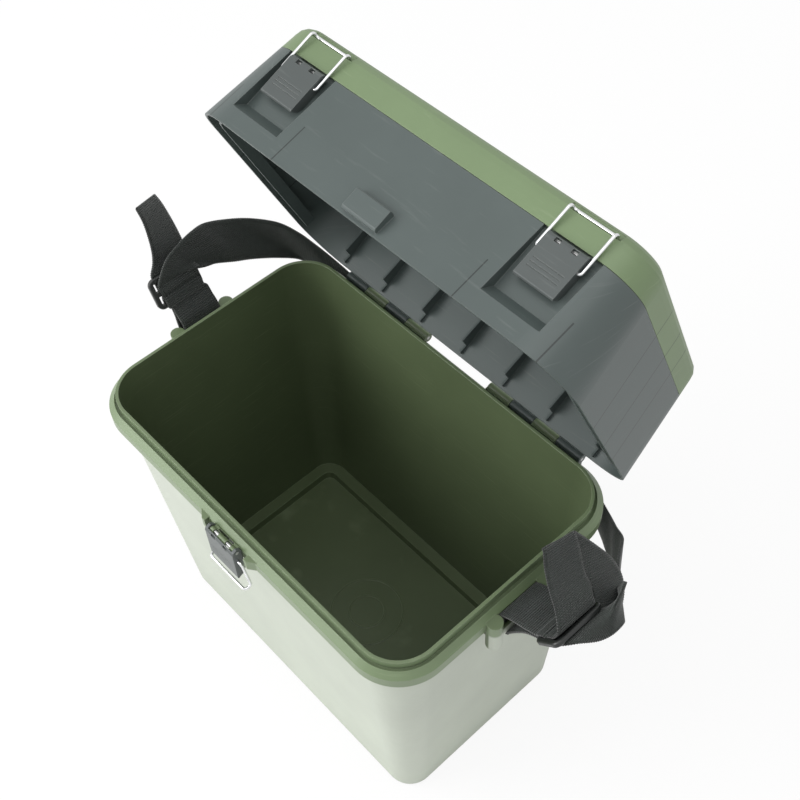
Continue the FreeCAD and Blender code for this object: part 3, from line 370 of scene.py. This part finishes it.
def witness_lines(colour, front_top):
    """Zones function that darkens thin lines on the ends and, below a height, the front of the lid."""
    def zones(tree, position):
        shut = add_node(tree, "ShaderNodeVectorRotate", {"rotation_type": "X_AXIS"},
                        {"Center": LID_HINGE, "Angle": math.radians(LID_OPEN)})
        join(tree, position, shut.inputs["Vector"])
        parts = add_node(tree, "ShaderNodeSeparateXYZ")
        join(tree, shut.outputs[0], parts.inputs[0])
        away = add_node(tree, "ShaderNodeMath", {"operation": "ABSOLUTE"})
        join(tree, parts.outputs["X"], away.inputs[0])
        on_end = compared(tree, away.outputs[0], "GREATER_THAN", END_STARTS)
        ends = highest(tree, [band(tree, parts.outputs["Y"], line, LINE_WIDTH) for line in END_LINES])
        on_front = both(tree, compared(tree, parts.outputs["Y"], "LESS_THAN", FRONT_STARTS),
                        compared(tree, parts.outputs["Z"], "LESS_THAN", front_top))
        fronts = highest(tree, [band(tree, away.outputs[0], line, LINE_WIDTH) for line in FRONT_LINES])
        lines = highest(tree, [both(tree, on_end, ends), both(tree, on_front, fronts)])
        mix = add_node(tree, "ShaderNodeMix", {"data_type": "RGBA"},
                       {6: tinted(colour, 1.0), 7: tinted(colour, LINE_SHADE)})
        join(tree, lines, mix.inputs["Factor"])
        return mix.outputs[2]
    return zones


print("witness lines on each end:", len(END_LINES))

# %% [markdown]
# Five plastics share the one look. The cap is the green of the bin's rim, the lid and the latches are
# two near dark greys, and the sliders are almost black. Each has its own paler colour for drag marks and
# edges, which on the edges is partly wear and partly a painted highlight.

# %% The plastic finishes
CAP_GREEN = (0.160, 0.225, 0.115)
LID_GREY = (0.072, 0.092, 0.088)
LATCH_GREY = (0.070, 0.082, 0.080)
SLIDER_GREY = (0.016, 0.018, 0.017)

# The second colour of each finish is paler; on edges it is partly wear and partly painted highlight.
bin_look = moulded_plastic("olive_bin_plastic", BIN_GREEN, (0.36, 0.44, 0.28), 0.36, zones=bin_glare_and_shade_zones)
cap_look = moulded_plastic("olive_cap_plastic", CAP_GREEN, (0.33, 0.40, 0.26), 0.45,
                           zones=witness_lines(CAP_GREEN, NO_FRONT_LINES))
lid_look = moulded_plastic("dark_lid_plastic", LID_GREY, (0.20, 0.22, 0.21), 0.40,
                           zones=witness_lines(LID_GREY, POCKET_BOTTOM))
latch_look = moulded_plastic("latch_plastic", LATCH_GREY, (0.22, 0.24, 0.23), 0.38)
slider_look = moulded_plastic("slider_plastic", SLIDER_GREY, (0.07, 0.075, 0.07), 0.30)
print("plastics:", [look.name for look in (bin_look, cap_look, lid_look, latch_look, slider_look)])

# %% [markdown]
# The bails are bent from bright plated wire, and the pins are plain drawn steel. Both are metal
# shaders. What makes them look real is a roughness that varies along the wire and fine draw lines.

# %% Plated wire and steel
SMEAR_SCALE = 140.0
DARK_SMEAR = 0.82
BRIGHT_SMEAR = 1.05
POLISHED = 0.6
DULLED = 1.7
DRAW_LINE_SCALE = 2600.0
DRAW_LINE_DEPTH = 0.2 * MM
DRAW_LINE_STRENGTH = 0.06


def drawn_metal(name, colour, roughness):
    """Bright metal with a roughness that wanders and fine lines in its surface."""
    look = bpy.data.materials.new(name)
    look.use_nodes = True
    tree = look.node_tree
    shader = tree.nodes["Principled BSDF"]
    shader.inputs["Metallic"].default_value = 1.0
    place = add_node(tree, "ShaderNodeTexCoord")
    smear = add_node(tree, "ShaderNodeTexNoise", values={"Scale": SMEAR_SCALE, "Detail": 4.0})
    join(tree, place.outputs["Object"], smear.inputs["Vector"])
    tone = add_node(tree, "ShaderNodeMix", {"data_type": "RGBA"},
                    {6: tinted(colour, DARK_SMEAR), 7: tinted(colour, BRIGHT_SMEAR)})
    join(tree, smear.outputs["Fac"], tone.inputs["Factor"])
    join(tree, tone.outputs[2], shader.inputs["Base Color"])
    shine = add_node(tree, "ShaderNodeMapRange",
                     values={"To Min": roughness * POLISHED, "To Max": roughness * DULLED})
    join(tree, smear.outputs["Fac"], shine.inputs["Value"])
    join(tree, shine.outputs["Result"], shader.inputs["Roughness"])
    lines = add_node(tree, "ShaderNodeTexNoise", values={"Scale": DRAW_LINE_SCALE, "Detail": 1.0})
    join(tree, place.outputs["Object"], lines.inputs["Vector"])
    bump = add_node(tree, "ShaderNodeBump",
                    values={"Strength": DRAW_LINE_STRENGTH, "Distance": DRAW_LINE_DEPTH})
    join(tree, lines.outputs["Fac"], bump.inputs["Height"])
    join(tree, bump.outputs["Normal"], shader.inputs["Normal"])
    return look


wire_look = drawn_metal("plated_wire", (0.78, 0.79, 0.80), 0.16)
pin_look = drawn_metal("pin_steel", (0.55, 0.55, 0.55), 0.34)
print("metals:", wire_look.name, "and", pin_look.name)

# %% [markdown]
# The moulded parts keep the shapes that the frame gives them, so each only needs its finish put in
# its material slots.

# %% Dress the moulded parts
FINISHES = {
    "bin": bin_look,
    "seat_cap": cap_look,
    "lid_tray": lid_look,
    "latch_lever_left": latch_look,
    "latch_lever_right": latch_look,
    "latch_lever_front": latch_look,
    "latch_bail_left": wire_look,
    "latch_bail_right": wire_look,
    "latch_bail_front": wire_look,
    "lid_hinge_pins": pin_look,
    "cap_hinge_pins": pin_look,
    "lid_latch_pins": pin_look,
    "latch_pin_front": pin_look,
    "strap_slider_right": slider_look,
    "strap_slider_left": slider_look,
}
for name, look in FINISHES.items():
    nodes[name].data.materials.clear()
    nodes[name].data.materials.append(look)
print("dressed:", len(FINISHES))

# %% [markdown]
# Webbing is woven flat, about 38 mm wide and 2 mm thick, with fine ribs across it. It could be bent
# from a plane, but a strap that twists is told best by its two edges. Two smooth curves carry the
# edges, and a Geometry Nodes tree lays a grid between them, raises the ribs and stores the
# coordinates of the weave. Solidify then gives the grid its thickness.

# %% Webbing: the look
RIB_PITCH = 1.9 * MM
STRAP_WIDTH = 38.0 * MM
STRAP_THICK = 1.7 * MM
YARN_GAP = 0.22 * MM
YARN_WIDTH = 1.4 * MM
YARN_DEPTH = 0.4 * MM
YARN_RELIEF = 0.7
LIGHT_YARN = 1.35
DARK_YARN = 0.80
GAP_SHADE = 0.25
SHEEN = 0.25
SHEEN_ROUGHNESS = 0.45
DUST_SCALE = 60.0
DUST_TINT = 1.9
DUST_STARTS = 0.45
DUST_FULL = 0.80
DUST_STRENGTH = 0.4
WEB_COLOUR = (0.022, 0.028, 0.024)


def webbing_look(name, colour):
    """Black woven webbing: warp columns and cross ribs in the strap's own UV map."""
    look = bpy.data.materials.new(name)
    look.use_nodes = True
    tree = look.node_tree
    shader = tree.nodes["Principled BSDF"]
    shader.inputs["Sheen Weight"].default_value = SHEEN
    shader.inputs["Sheen Roughness"].default_value = SHEEN_ROUGHNESS
    place = add_node(tree, "ShaderNodeUVMap", {"uv_map": "strap_uv"})
    weave = add_node(tree, "ShaderNodeTexBrick", {"offset": 0.5},
                     {"Scale": 1.0, "Mortar Size": YARN_GAP, "Mortar Smooth": 0.6,
                      "Brick Width": RIB_PITCH, "Row Height": YARN_WIDTH,
                      "Color1": tinted(colour, LIGHT_YARN), "Color2": tinted(colour, DARK_YARN),
                      "Mortar": tinted(colour, GAP_SHADE)})
    join(tree, place.outputs["UV"], weave.inputs["Vector"])
    dust = add_node(tree, "ShaderNodeTexNoise", values={"Scale": DUST_SCALE, "Detail": 5.0})
    join(tree, place.outputs["UV"], dust.inputs["Vector"])
    faded = add_node(tree, "ShaderNodeMix", {"data_type": "RGBA"}, {7: tinted(colour, DUST_TINT)})
    amount = add_node(tree, "ShaderNodeMapRange",
                      values={"From Min": DUST_STARTS, "From Max": DUST_FULL, "To Max": DUST_STRENGTH})
    join(tree, dust.outputs["Fac"], amount.inputs["Value"])
    join(tree, amount.outputs["Result"], faded.inputs["Factor"])
    join(tree, weave.outputs["Color"], faded.inputs[6])
    join(tree, faded.outputs[2], shader.inputs["Base Color"])
    rough = add_node(tree, "ShaderNodeMapRange", values={"To Min": 0.72, "To Max": 0.92})
    join(tree, dust.outputs["Fac"], rough.inputs["Value"])
    join(tree, rough.outputs["Result"], shader.inputs["Roughness"])
    bump = add_node(tree, "ShaderNodeBump", {"invert": True},
                    {"Strength": YARN_RELIEF, "Distance": YARN_DEPTH})
    join(tree, weave.outputs["Fac"], bump.inputs["Height"])
    join(tree, bump.outputs["Normal"], shader.inputs["Normal"])
    return look


strap_look = webbing_look("woven_webbing", WEB_COLOUR)
print("webbing look nodes:", len(strap_look.node_tree.nodes))

# %% [markdown]
# The webbing tree is put together from small steps, so that each can be read alone: the points on
# the two edges, the weave's coordinates, the ribs and the end of the tree.

# %% Webbing: helpers for its node tree
def tree_input(tree, name, kind, value=None):
    """Named input on a Geometry Nodes tree. Returns its socket's identifier."""
    made = tree.interface.new_socket(name=name, in_out="INPUT", socket_type=kind)
    if value is not None:
        made.default_value = value
    return made.identifier


def finish_tree(tree, source, look_socket, outlet):
    """Ends a tree in Realize Instances and Set Material."""
    real = add_node(tree, "GeometryNodeRealizeInstances")
    paint = add_node(tree, "GeometryNodeSetMaterial")
    join(tree, source, real.inputs[0])
    join(tree, real.outputs[0], paint.inputs["Geometry"])
    join(tree, look_socket, paint.inputs["Material"])
    join(tree, paint.outputs[0], outlet.inputs[0])


def edge_positions(tree, given, along):
    """Points on the two edge curves, at a share of their lengths."""
    found = []
    for label in ("First Edge", "Second Edge"):
        info = add_node(tree, "GeometryNodeObjectInfo")
        join(tree, given.outputs[label], info.inputs["Object"])
        smooth = add_node(tree, "GeometryNodeCurveSplineType", {"spline_type": "CATMULL_ROM"})
        join(tree, info.outputs["Geometry"], smooth.inputs["Curve"])
        sample = add_node(tree, "GeometryNodeSampleCurve", {"mode": "FACTOR"})
        join(tree, smooth.outputs[0], sample.inputs["Curves"])
        join(tree, along, sample.inputs["Factor"])
        found.append(sample.outputs["Position"])
    return found


def with_weave_map(tree, given, mesh, shares):
    """Mesh with the strap's length and width stored on it in metres, for the weave."""
    sizes = add_node(tree, "ShaderNodeCombineXYZ")
    join(tree, given.outputs["Length"], sizes.inputs["X"])
    join(tree, given.outputs["Width"], sizes.inputs["Y"])
    uv = add_node(tree, "ShaderNodeVectorMath", {"operation": "MULTIPLY"})
    join(tree, shares, uv.inputs[0])
    join(tree, sizes.outputs[0], uv.inputs[1])
    keep = add_node(tree, "GeometryNodeStoreNamedAttribute", {"data_type": "FLOAT2", "domain": "CORNER"},
                    {"Name": "strap_uv"})
    join(tree, mesh, keep.inputs["Geometry"])
    join(tree, uv.outputs[0], keep.inputs["Value"])
    return keep.outputs[0]


def rib_offset(tree, given):
    """Offset along the normal that rises and falls once for each rib."""
    weave_map = add_node(tree, "GeometryNodeInputNamedAttribute", {"data_type": "FLOAT_VECTOR"},
                         {"Name": "strap_uv"})
    parts = add_node(tree, "ShaderNodeSeparateXYZ")
    join(tree, weave_map.outputs[0], parts.inputs[0])
    ribs = add_node(tree, "ShaderNodeMath", {"operation": "DIVIDE"})
    join(tree, parts.outputs["X"], ribs.inputs[0])
    join(tree, given.outputs["Rib Pitch"], ribs.inputs[1])
    angle = add_node(tree, "ShaderNodeMath", {"operation": "MULTIPLY"})
    angle.inputs[1].default_value = 2.0 * math.pi
    join(tree, ribs.outputs[0], angle.inputs[0])
    wave = add_node(tree, "ShaderNodeMath", {"operation": "SINE"})
    join(tree, angle.outputs[0], wave.inputs[0])
    lift = add_node(tree, "ShaderNodeMath", {"operation": "MULTIPLY"})
    join(tree, wave.outputs[0], lift.inputs[0])
    join(tree, given.outputs["Rib Height"], lift.inputs[1])
    outward = add_node(tree, "GeometryNodeInputNormal")
    offset = add_node(tree, "ShaderNodeVectorMath", {"operation": "SCALE"})
    join(tree, outward.outputs[0], offset.inputs[0])
    join(tree, lift.outputs[0], offset.inputs["Scale"])
    return offset.outputs[0]


# %% [markdown]
# The tree starts with a flat grid of one metre. Each of its points moves to the place between the
# two edges that its share of the length and of the width tells.

# %% Webbing: the node tree that lays it between two edges
RIB_HEIGHT = 0.34 * MM
STEPS_PER_RIB = 4
STEPS_ACROSS = 13


def build_webbing_tree():
    """Tree that lays ribbed webbing between two edge curves, and its inputs' identifiers."""
    tree = bpy.data.node_groups.new("webbing_between_edges", "GeometryNodeTree")
    tree.interface.new_socket(name="Geometry", in_out="INPUT", socket_type="NodeSocketGeometry")
    keys = {
        "first": tree_input(tree, "First Edge", "NodeSocketObject"),
        "second": tree_input(tree, "Second Edge", "NodeSocketObject"),
        "along": tree_input(tree, "Steps Along", "NodeSocketInt", 200),
        "across": tree_input(tree, "Steps Across", "NodeSocketInt", STEPS_ACROSS),
        "length": tree_input(tree, "Length", "NodeSocketFloat", 0.2),
        "width": tree_input(tree, "Width", "NodeSocketFloat", STRAP_WIDTH),
        "pitch": tree_input(tree, "Rib Pitch", "NodeSocketFloat", RIB_PITCH),
        "height": tree_input(tree, "Rib Height", "NodeSocketFloat", RIB_HEIGHT),
        "look": tree_input(tree, "Material", "NodeSocketMaterial"),
    }
    tree.interface.new_socket(name="Geometry", in_out="OUTPUT", socket_type="NodeSocketGeometry")
    given = add_node(tree, "NodeGroupInput")
    outlet = add_node(tree, "NodeGroupOutput")
    grid = add_node(tree, "GeometryNodeMeshGrid", values={"Size X": 1.0, "Size Y": 1.0})
    join(tree, given.outputs["Steps Along"], grid.inputs["Vertices X"])
    join(tree, given.outputs["Steps Across"], grid.inputs["Vertices Y"])
    here = add_node(tree, "GeometryNodeInputPosition")
    shares = add_node(tree, "ShaderNodeVectorMath", {"operation": "ADD"})
    shares.inputs[1].default_value = (0.5, 0.5, 0.0)
    join(tree, here.outputs[0], shares.inputs[0])
    parts = add_node(tree, "ShaderNodeSeparateXYZ")
    join(tree, shares.outputs[0], parts.inputs[0])
    first, second = edge_positions(tree, given, parts.outputs["X"])
    between = add_node(tree, "ShaderNodeMix", {"data_type": "VECTOR"})
    join(tree, parts.outputs["Y"], between.inputs["Factor"])
    join(tree, first, between.inputs[4])
    join(tree, second, between.inputs[5])
    laid = add_node(tree, "GeometryNodeSetPosition")
    mapped = with_weave_map(tree, given, grid.outputs["Mesh"], shares.outputs[0])
    join(tree, mapped, laid.inputs["Geometry"])
    join(tree, between.outputs[1], laid.inputs["Position"])
    ribbed = add_node(tree, "GeometryNodeSetPosition")
    join(tree, laid.outputs[0], ribbed.inputs["Geometry"])
    join(tree, rib_offset(tree, given), ribbed.inputs["Offset"])
    finish_tree(tree, ribbed.outputs[0], given.outputs["Material"], outlet)
    return tree, keys


webbing_tree, webbing_keys = build_webbing_tree()
print("webbing tree nodes:", len(webbing_tree.nodes))

# %% [markdown]
# A strap is laid through pairs of edge points. The two curves and the modifiers only serve to make
# it, so the result is kept as a plain mesh and the helpers are taken away again.

# %% Webbing: one strap from pairs of edge points
def edge_curve(name, points):
    """Curve object with one poly spline through the points, given in millimetres."""
    data = bpy.data.curves.new(name, "CURVE")
    data.dimensions = "3D"
    spline = data.splines.new("POLY")
    spline.points.add(len(points) - 1)
    for target, point in zip(spline.points, points):
        target.co = (point[0] * MM, point[1] * MM, point[2] * MM, 1.0)
    holder = bpy.data.objects.new(name, data)
    scene.collection.objects.link(holder)
    return holder


def run_length(points):
    """Length in metres of a run of points given in millimetres."""
    return sum((Vector(b) - Vector(a)).length for a, b in zip(points, points[1:])) * MM


def baked(holder, name):
    """Plain mesh object from what the modifiers make, with the helper removed."""
    bpy.context.view_layer.update()
    seen_now = holder.evaluated_get(bpy.context.evaluated_depsgraph_get())
    mesh = bpy.data.meshes.new_from_object(seen_now)
    mesh.name = name
    made = bpy.data.objects.new(name, mesh)
    scene.collection.objects.link(made)
    bpy.data.objects.remove(holder)
    return made


def lay_webbing(name, stations):
    """Webbing through (first edge, second edge) pairs given in millimetres."""
    first = edge_curve(name + "_first", [pair[0] for pair in stations])
    second = edge_curve(name + "_second", [pair[1] for pair in stations])
    middle = [(Vector(a) + Vector(b)) / 2 for a, b in stations]
    length = run_length(middle)
    mesh = bpy.data.meshes.new(name)
    holder = bpy.data.objects.new(name + "_tree", mesh)
    scene.collection.objects.link(holder)
    modifier = holder.modifiers.new("webbing", "NODES")
    modifier.node_group = webbing_tree
    modifier[webbing_keys["first"]] = first
    modifier[webbing_keys["second"]] = second
    modifier[webbing_keys["along"]] = int(length / RIB_PITCH * STEPS_PER_RIB)
    modifier[webbing_keys["across"]] = STEPS_ACROSS
    modifier[webbing_keys["length"]] = length
    modifier[webbing_keys["width"]] = STRAP_WIDTH
    modifier[webbing_keys["pitch"]] = RIB_PITCH
    modifier[webbing_keys["height"]] = RIB_HEIGHT
    modifier[webbing_keys["look"]] = strap_look
    thick = holder.modifiers.new("thickness", "SOLIDIFY")
    thick.thickness = STRAP_THICK
    thick.offset = 0.0
    strap = baked(holder, name)
    bpy.data.objects.remove(first)
    bpy.data.objects.remove(second)
    for face in strap.data.polygons:
        face.use_smooth = True
    print(name, "length in mm:", round(length / MM), "faces:", len(strap.data.polygons))
    return strap


# %% [markdown]
# Each end of the shoulder strap goes through a flat slider and comes back from it. Below the slider
# a loop of webbing goes behind the lug's bar and round it. The sliders stay as the frame has them,
# and these helpers lay webbing on their faces and round the bars. All their sizes are millimetres.

# %% Straps on the sliders and round the lugs
SLIDER_RIGHT = (236.5, -1.0, 308.5)
SLIDER_RIGHT_TILT = 48.0
SLIDER_LEFT = (-211.5, -6.0, 311.5)
SLIDER_LEFT_TILT = 114.8
SLIDER_HALF_WIDTH = 14.5
SLIDER_LIFT = 3.1
SLIDER_GAP = 1.2
HALF_WEB = 19.0
HALF_LAYERS = 1.4
LUG_BAR_X = 193.3
LUG_BAR_Z = 264.0
WRAP_RADIUS = 4.4
WRAP_ANGLES = range(180, 361, 30)
FLANGE_TOP = 279.0
FLANGE_CLEARANCE = 3.0
FLANGE_EASE = 1.2
SAG_SHARES = [(0.62, 0.58), (0.28, 0.26)]
LOWER_LAYER = [(2, 1.6, 3.5, -6.5), (1, 1.2, 0.8, -1.4)]
INTO_SLOT = [(-4.4, 0.4), (-8.0, 2.9), (-11.0, SLIDER_LIFT), (-14.8, 2.9)]


def slider_axes(place, tilt):
    """A slider's centre, its direction across the bars and the way its face looks."""
    across = Vector((math.cos(math.radians(tilt)), 0, math.sin(math.radians(tilt))))
    facing = Vector((-across.z, 0, across.x))
    return Vector(place), across, facing


def flat_pair(point, middle):
    """Edge pair of webbing that lies square to the box's end."""
    return ((point.x, middle - HALF_WEB, point.z), (point.x, middle + HALF_WEB, point.z))


def on_slider(place, tilt, offsets_and_lifts, side=1):
    """Edge pairs at distances along the slider's width and above its face."""
    centre, across, facing = slider_axes(place, tilt)
    pairs = []
    for offset, lift in offsets_and_lifts:
        pairs.append(flat_pair(centre + across * offset + facing * lift * side, centre.y / 2))
    return pairs


def lug_loop(side, place, tilt):
    """Edge pairs from the slider, down behind the lug's bar, round it and back up.

    The upper layer sags at shares of its way out and up. The lower layer goes back below chosen
    stations of the upper one, moved by a share of the gap between them and then out and down.
    """
    centre, across, facing = slider_axes(place, tilt)
    end = centre - across * (SLIDER_HALF_WIDTH + SLIDER_GAP)
    inward = facing * (HALF_LAYERS if facing.x * side < 0 else -HALF_LAYERS)
    upper_end = end + inward
    lower_end = end - inward
    gap_x = LUG_BAR_X - WRAP_RADIUS
    clear_z = FLANGE_TOP + FLANGE_CLEARANCE
    reach = side * upper_end.x - gap_x
    rise = upper_end.z - clear_z
    upper = [(side * upper_end.x, upper_end.z)]
    for share_out, share_up in SAG_SHARES:
        upper.append((gap_x + share_out * reach, clear_z + share_up * rise))
    upper.append((gap_x + FLANGE_EASE, FLANGE_TOP + FLANGE_EASE))
    upper.append((gap_x, FLANGE_TOP - FLANGE_CLEARANCE))
    bend = []
    for degrees in WRAP_ANGLES:
        angle = math.radians(degrees)
        bend.append((LUG_BAR_X + WRAP_RADIUS * math.cos(angle),
                     LUG_BAR_Z + WRAP_RADIUS * math.sin(angle)))
    shift_x = side * (lower_end.x - upper_end.x)
    shift_z = lower_end.z - upper_end.z
    back = []
    for index, spread, out, down in LOWER_LAYER:
        above_x, above_z = upper[index]
        back.append((above_x + spread * shift_x + out, above_z + spread * shift_z + down))
    back.append((side * lower_end.x, lower_end.z))
    loop = [flat_pair(Vector((side * x, 0, z)), 0.0) for x, z in upper + bend + back]
    seen_side = 1 if facing.x * side < 0 else -1
    first = on_slider(place, tilt, INTO_SLOT, seen_side)
    last = on_slider(place, tilt, INTO_SLOT[::-1], -seen_side)
    return first + loop + last


def swapped(stations):
    """The same stations with the two edges changed over."""
    return [(second, first) for first, second in stations]


print("lug bar at height in mm:", LUG_BAR_Z)

# %% [markdown]
# The free course of the strap has no rule, so it is told by stations. Each is the place of one edge
# and of the other, in millimetres. On the right the tail folds under itself beside the rim and tucks
# in below, and the shoulder run passes under it to the rear corner. Behind the box the run hangs in
# a shallow curve, and on the left it rises in a bow before it reaches its slider.

# %% Strap routes
TAIL_RIGHT = [
    ((240.5, -18.0, 322.5), (240.5, 19.5, 318.0)),
    ((237.0, -15.0, 327.0), (236.0, 22.0, 320.5)),
    ((228.0, -8.0, 328.0), (228.5, 29.0, 317.0)),
    ((215.6, 0.0, 327.0), (218.0, 35.0, 312.0)),
    ((203.0, 9.0, 328.5), (205.0, 44.5, 313.0)),
    ((194.5, 16.5, 331.5), (194.5, 51.5, 315.5)),
    ((190.6, 20.0, 327.5), (190.6, 55.0, 311.5)),
    ((195.5, 24.0, 322.0), (195.5, 58.5, 306.5)),
    ((206.0, 28.0, 317.0), (206.5, 62.0, 302.0)),
    ((217.0, 32.0, 310.0), (218.0, 65.5, 295.5)),
    ((228.0, 31.0, 304.0), (229.0, 64.0, 289.0)),
    ((236.0, 24.0, 300.0), (238.5, 57.0, 285.0)),
    ((242.0, 12.0, 299.0), (246.0, 46.0, 284.0)),
]
RUN_RIGHT = [
    ((252.0, -13.0, 317.0), (250.0, 24.5, 318.5)),
    ((260.0, 1.0, 313.0), (253.0, 30.0, 329.0)),
    ((262.5, 14.0, 309.0), (252.0, 33.0, 335.5)),
    ((259.0, 31.0, 298.0), (248.5, 40.0, 332.0)),
    ((248.5, 44.0, 275.0), (243.0, 43.5, 312.0)),
    ((237.0, 59.0, 248.0), (233.0, 58.0, 285.0)),
    ((221.0, 75.0, 238.0), (218.0, 76.0, 275.0)),
    ((208.0, 88.0, 231.0), (208.0, 91.0, 268.0)),
    ((198.5, 98.0, 226.0), (201.0, 102.4, 262.0)),
    ((185.0, 109.0, 215.0), (187.0, 112.0, 251.0)),
    ((171.0, 121.0, 204.0), (173.0, 122.0, 241.0)),
    ((156.0, 129.0, 203.0), (156.0, 129.0, 240.0)),
    ((138.0, 132.0, 206.0), (138.0, 131.5, 244.0)),
]
RUN_REAR = [
    ((105.0, 132.0, 208.0), (105.0, 131.5, 246.0)),
    ((55.0, 132.5, 209.5), (55.0, 132.5, 247.5)),
    ((0.0, 133.0, 210.0), (0.0, 133.0, 248.0)),
    ((-55.0, 132.5, 213.0), (-55.0, 132.5, 251.0)),
    ((-105.0, 132.0, 222.0), (-105.0, 131.5, 260.0)),
]
RUN_LEFT = [
    ((-208.5, 19.0, 317.0), (-216.0, -8.0, 336.0)),
    ((-208.0, 24.5, 313.0), (-219.5, 9.0, 341.5)),
    ((-209.5, 30.0, 309.5), (-222.0, 26.0, 344.0)),
    ((-211.0, 37.0, 305.5), (-227.0, 42.0, 338.5)),
    ((-208.5, 54.0, 297.0), (-225.5, 64.0, 329.0)),
    ((-205.5, 70.0, 290.5), (-216.5, 82.0, 323.5)),
    ((-199.5, 93.0, 279.5), (-200.8, 99.6, 317.0)),
    ((-195.0, 115.0, 264.0), (-191.5, 113.0, 302.0)),
    ((-186.0, 126.0, 247.5), (-183.0, 123.5, 285.5)),
    ((-170.0, 131.0, 237.0), (-168.0, 129.5, 275.0)),
    ((-138.0, 132.0, 231.0), (-138.0, 131.0, 269.0)),
]
TAIL_LEFT = [
    ((-222.5, -16.5, 334.0), (-229.0, 19.5, 326.5)),
    ((-225.0, -13.0, 344.0), (-233.5, 20.5, 331.0)),
    ((-230.5, -10.0, 356.5), (-244.0, 22.0, 341.0)),
    ((-237.0, -8.0, 368.0), (-257.0, 22.5, 354.0)),
    ((-248.0, -6.0, 374.0), (-267.5, 23.0, 357.5)),
]
print("stations in the shoulder run:", len(RUN_RIGHT) + len(RUN_REAR) + len(RUN_LEFT))

# %% [markdown]
# On a slider the webbing comes up out of a slot and lies on the bar. The right and left shoulder
# runs and the rear stretch are one strap on the real box, so one piece is laid through them all. The
# pieces take the places of the plain CAD ribbons and ride on the bin.

# %% Straps laid and put on the bin
OVER_BAR = [(-3.2, 0.4), (0.0, 2.9), (6.0, SLIDER_LIFT)]
OVER_FAR_BAR = [(15.5, SLIDER_LIFT)]
UNDER_BAR = [(-3.2, -0.4), (0.0, -2.9), (8.0, -SLIDER_LIFT)]

right_slider = (SLIDER_RIGHT, SLIDER_RIGHT_TILT)
left_slider = (SLIDER_LEFT, SLIDER_LEFT_TILT)
tail_right = lay_webbing("webbing_tail_right", on_slider(*right_slider, OVER_BAR) + TAIL_RIGHT)
tail_left = lay_webbing("webbing_tail_left",
                        on_slider(*left_slider, OVER_BAR + OVER_FAR_BAR) + TAIL_LEFT)
run_stations = (on_slider(*right_slider, UNDER_BAR) + RUN_RIGHT + RUN_REAR + RUN_LEFT[::-1]
                + swapped(on_slider(*left_slider, UNDER_BAR))[::-1])
shoulder = lay_webbing("webbing_shoulder_run", run_stations)
loop_right = lay_webbing("webbing_loop_right", lug_loop(1, *right_slider))
loop_left = lay_webbing("webbing_loop_left", lug_loop(-1, *left_slider))

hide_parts("strap_tail_right")
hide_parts("strap_tail_left")
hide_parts("strap_run_right", "strap_run_left", "strap_run_rear")
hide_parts("strap_anchor_right")
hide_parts("strap_anchor_left")
for strap in (tail_right, tail_left, shoulder, loop_right, loop_left):
    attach(strap, "bin")
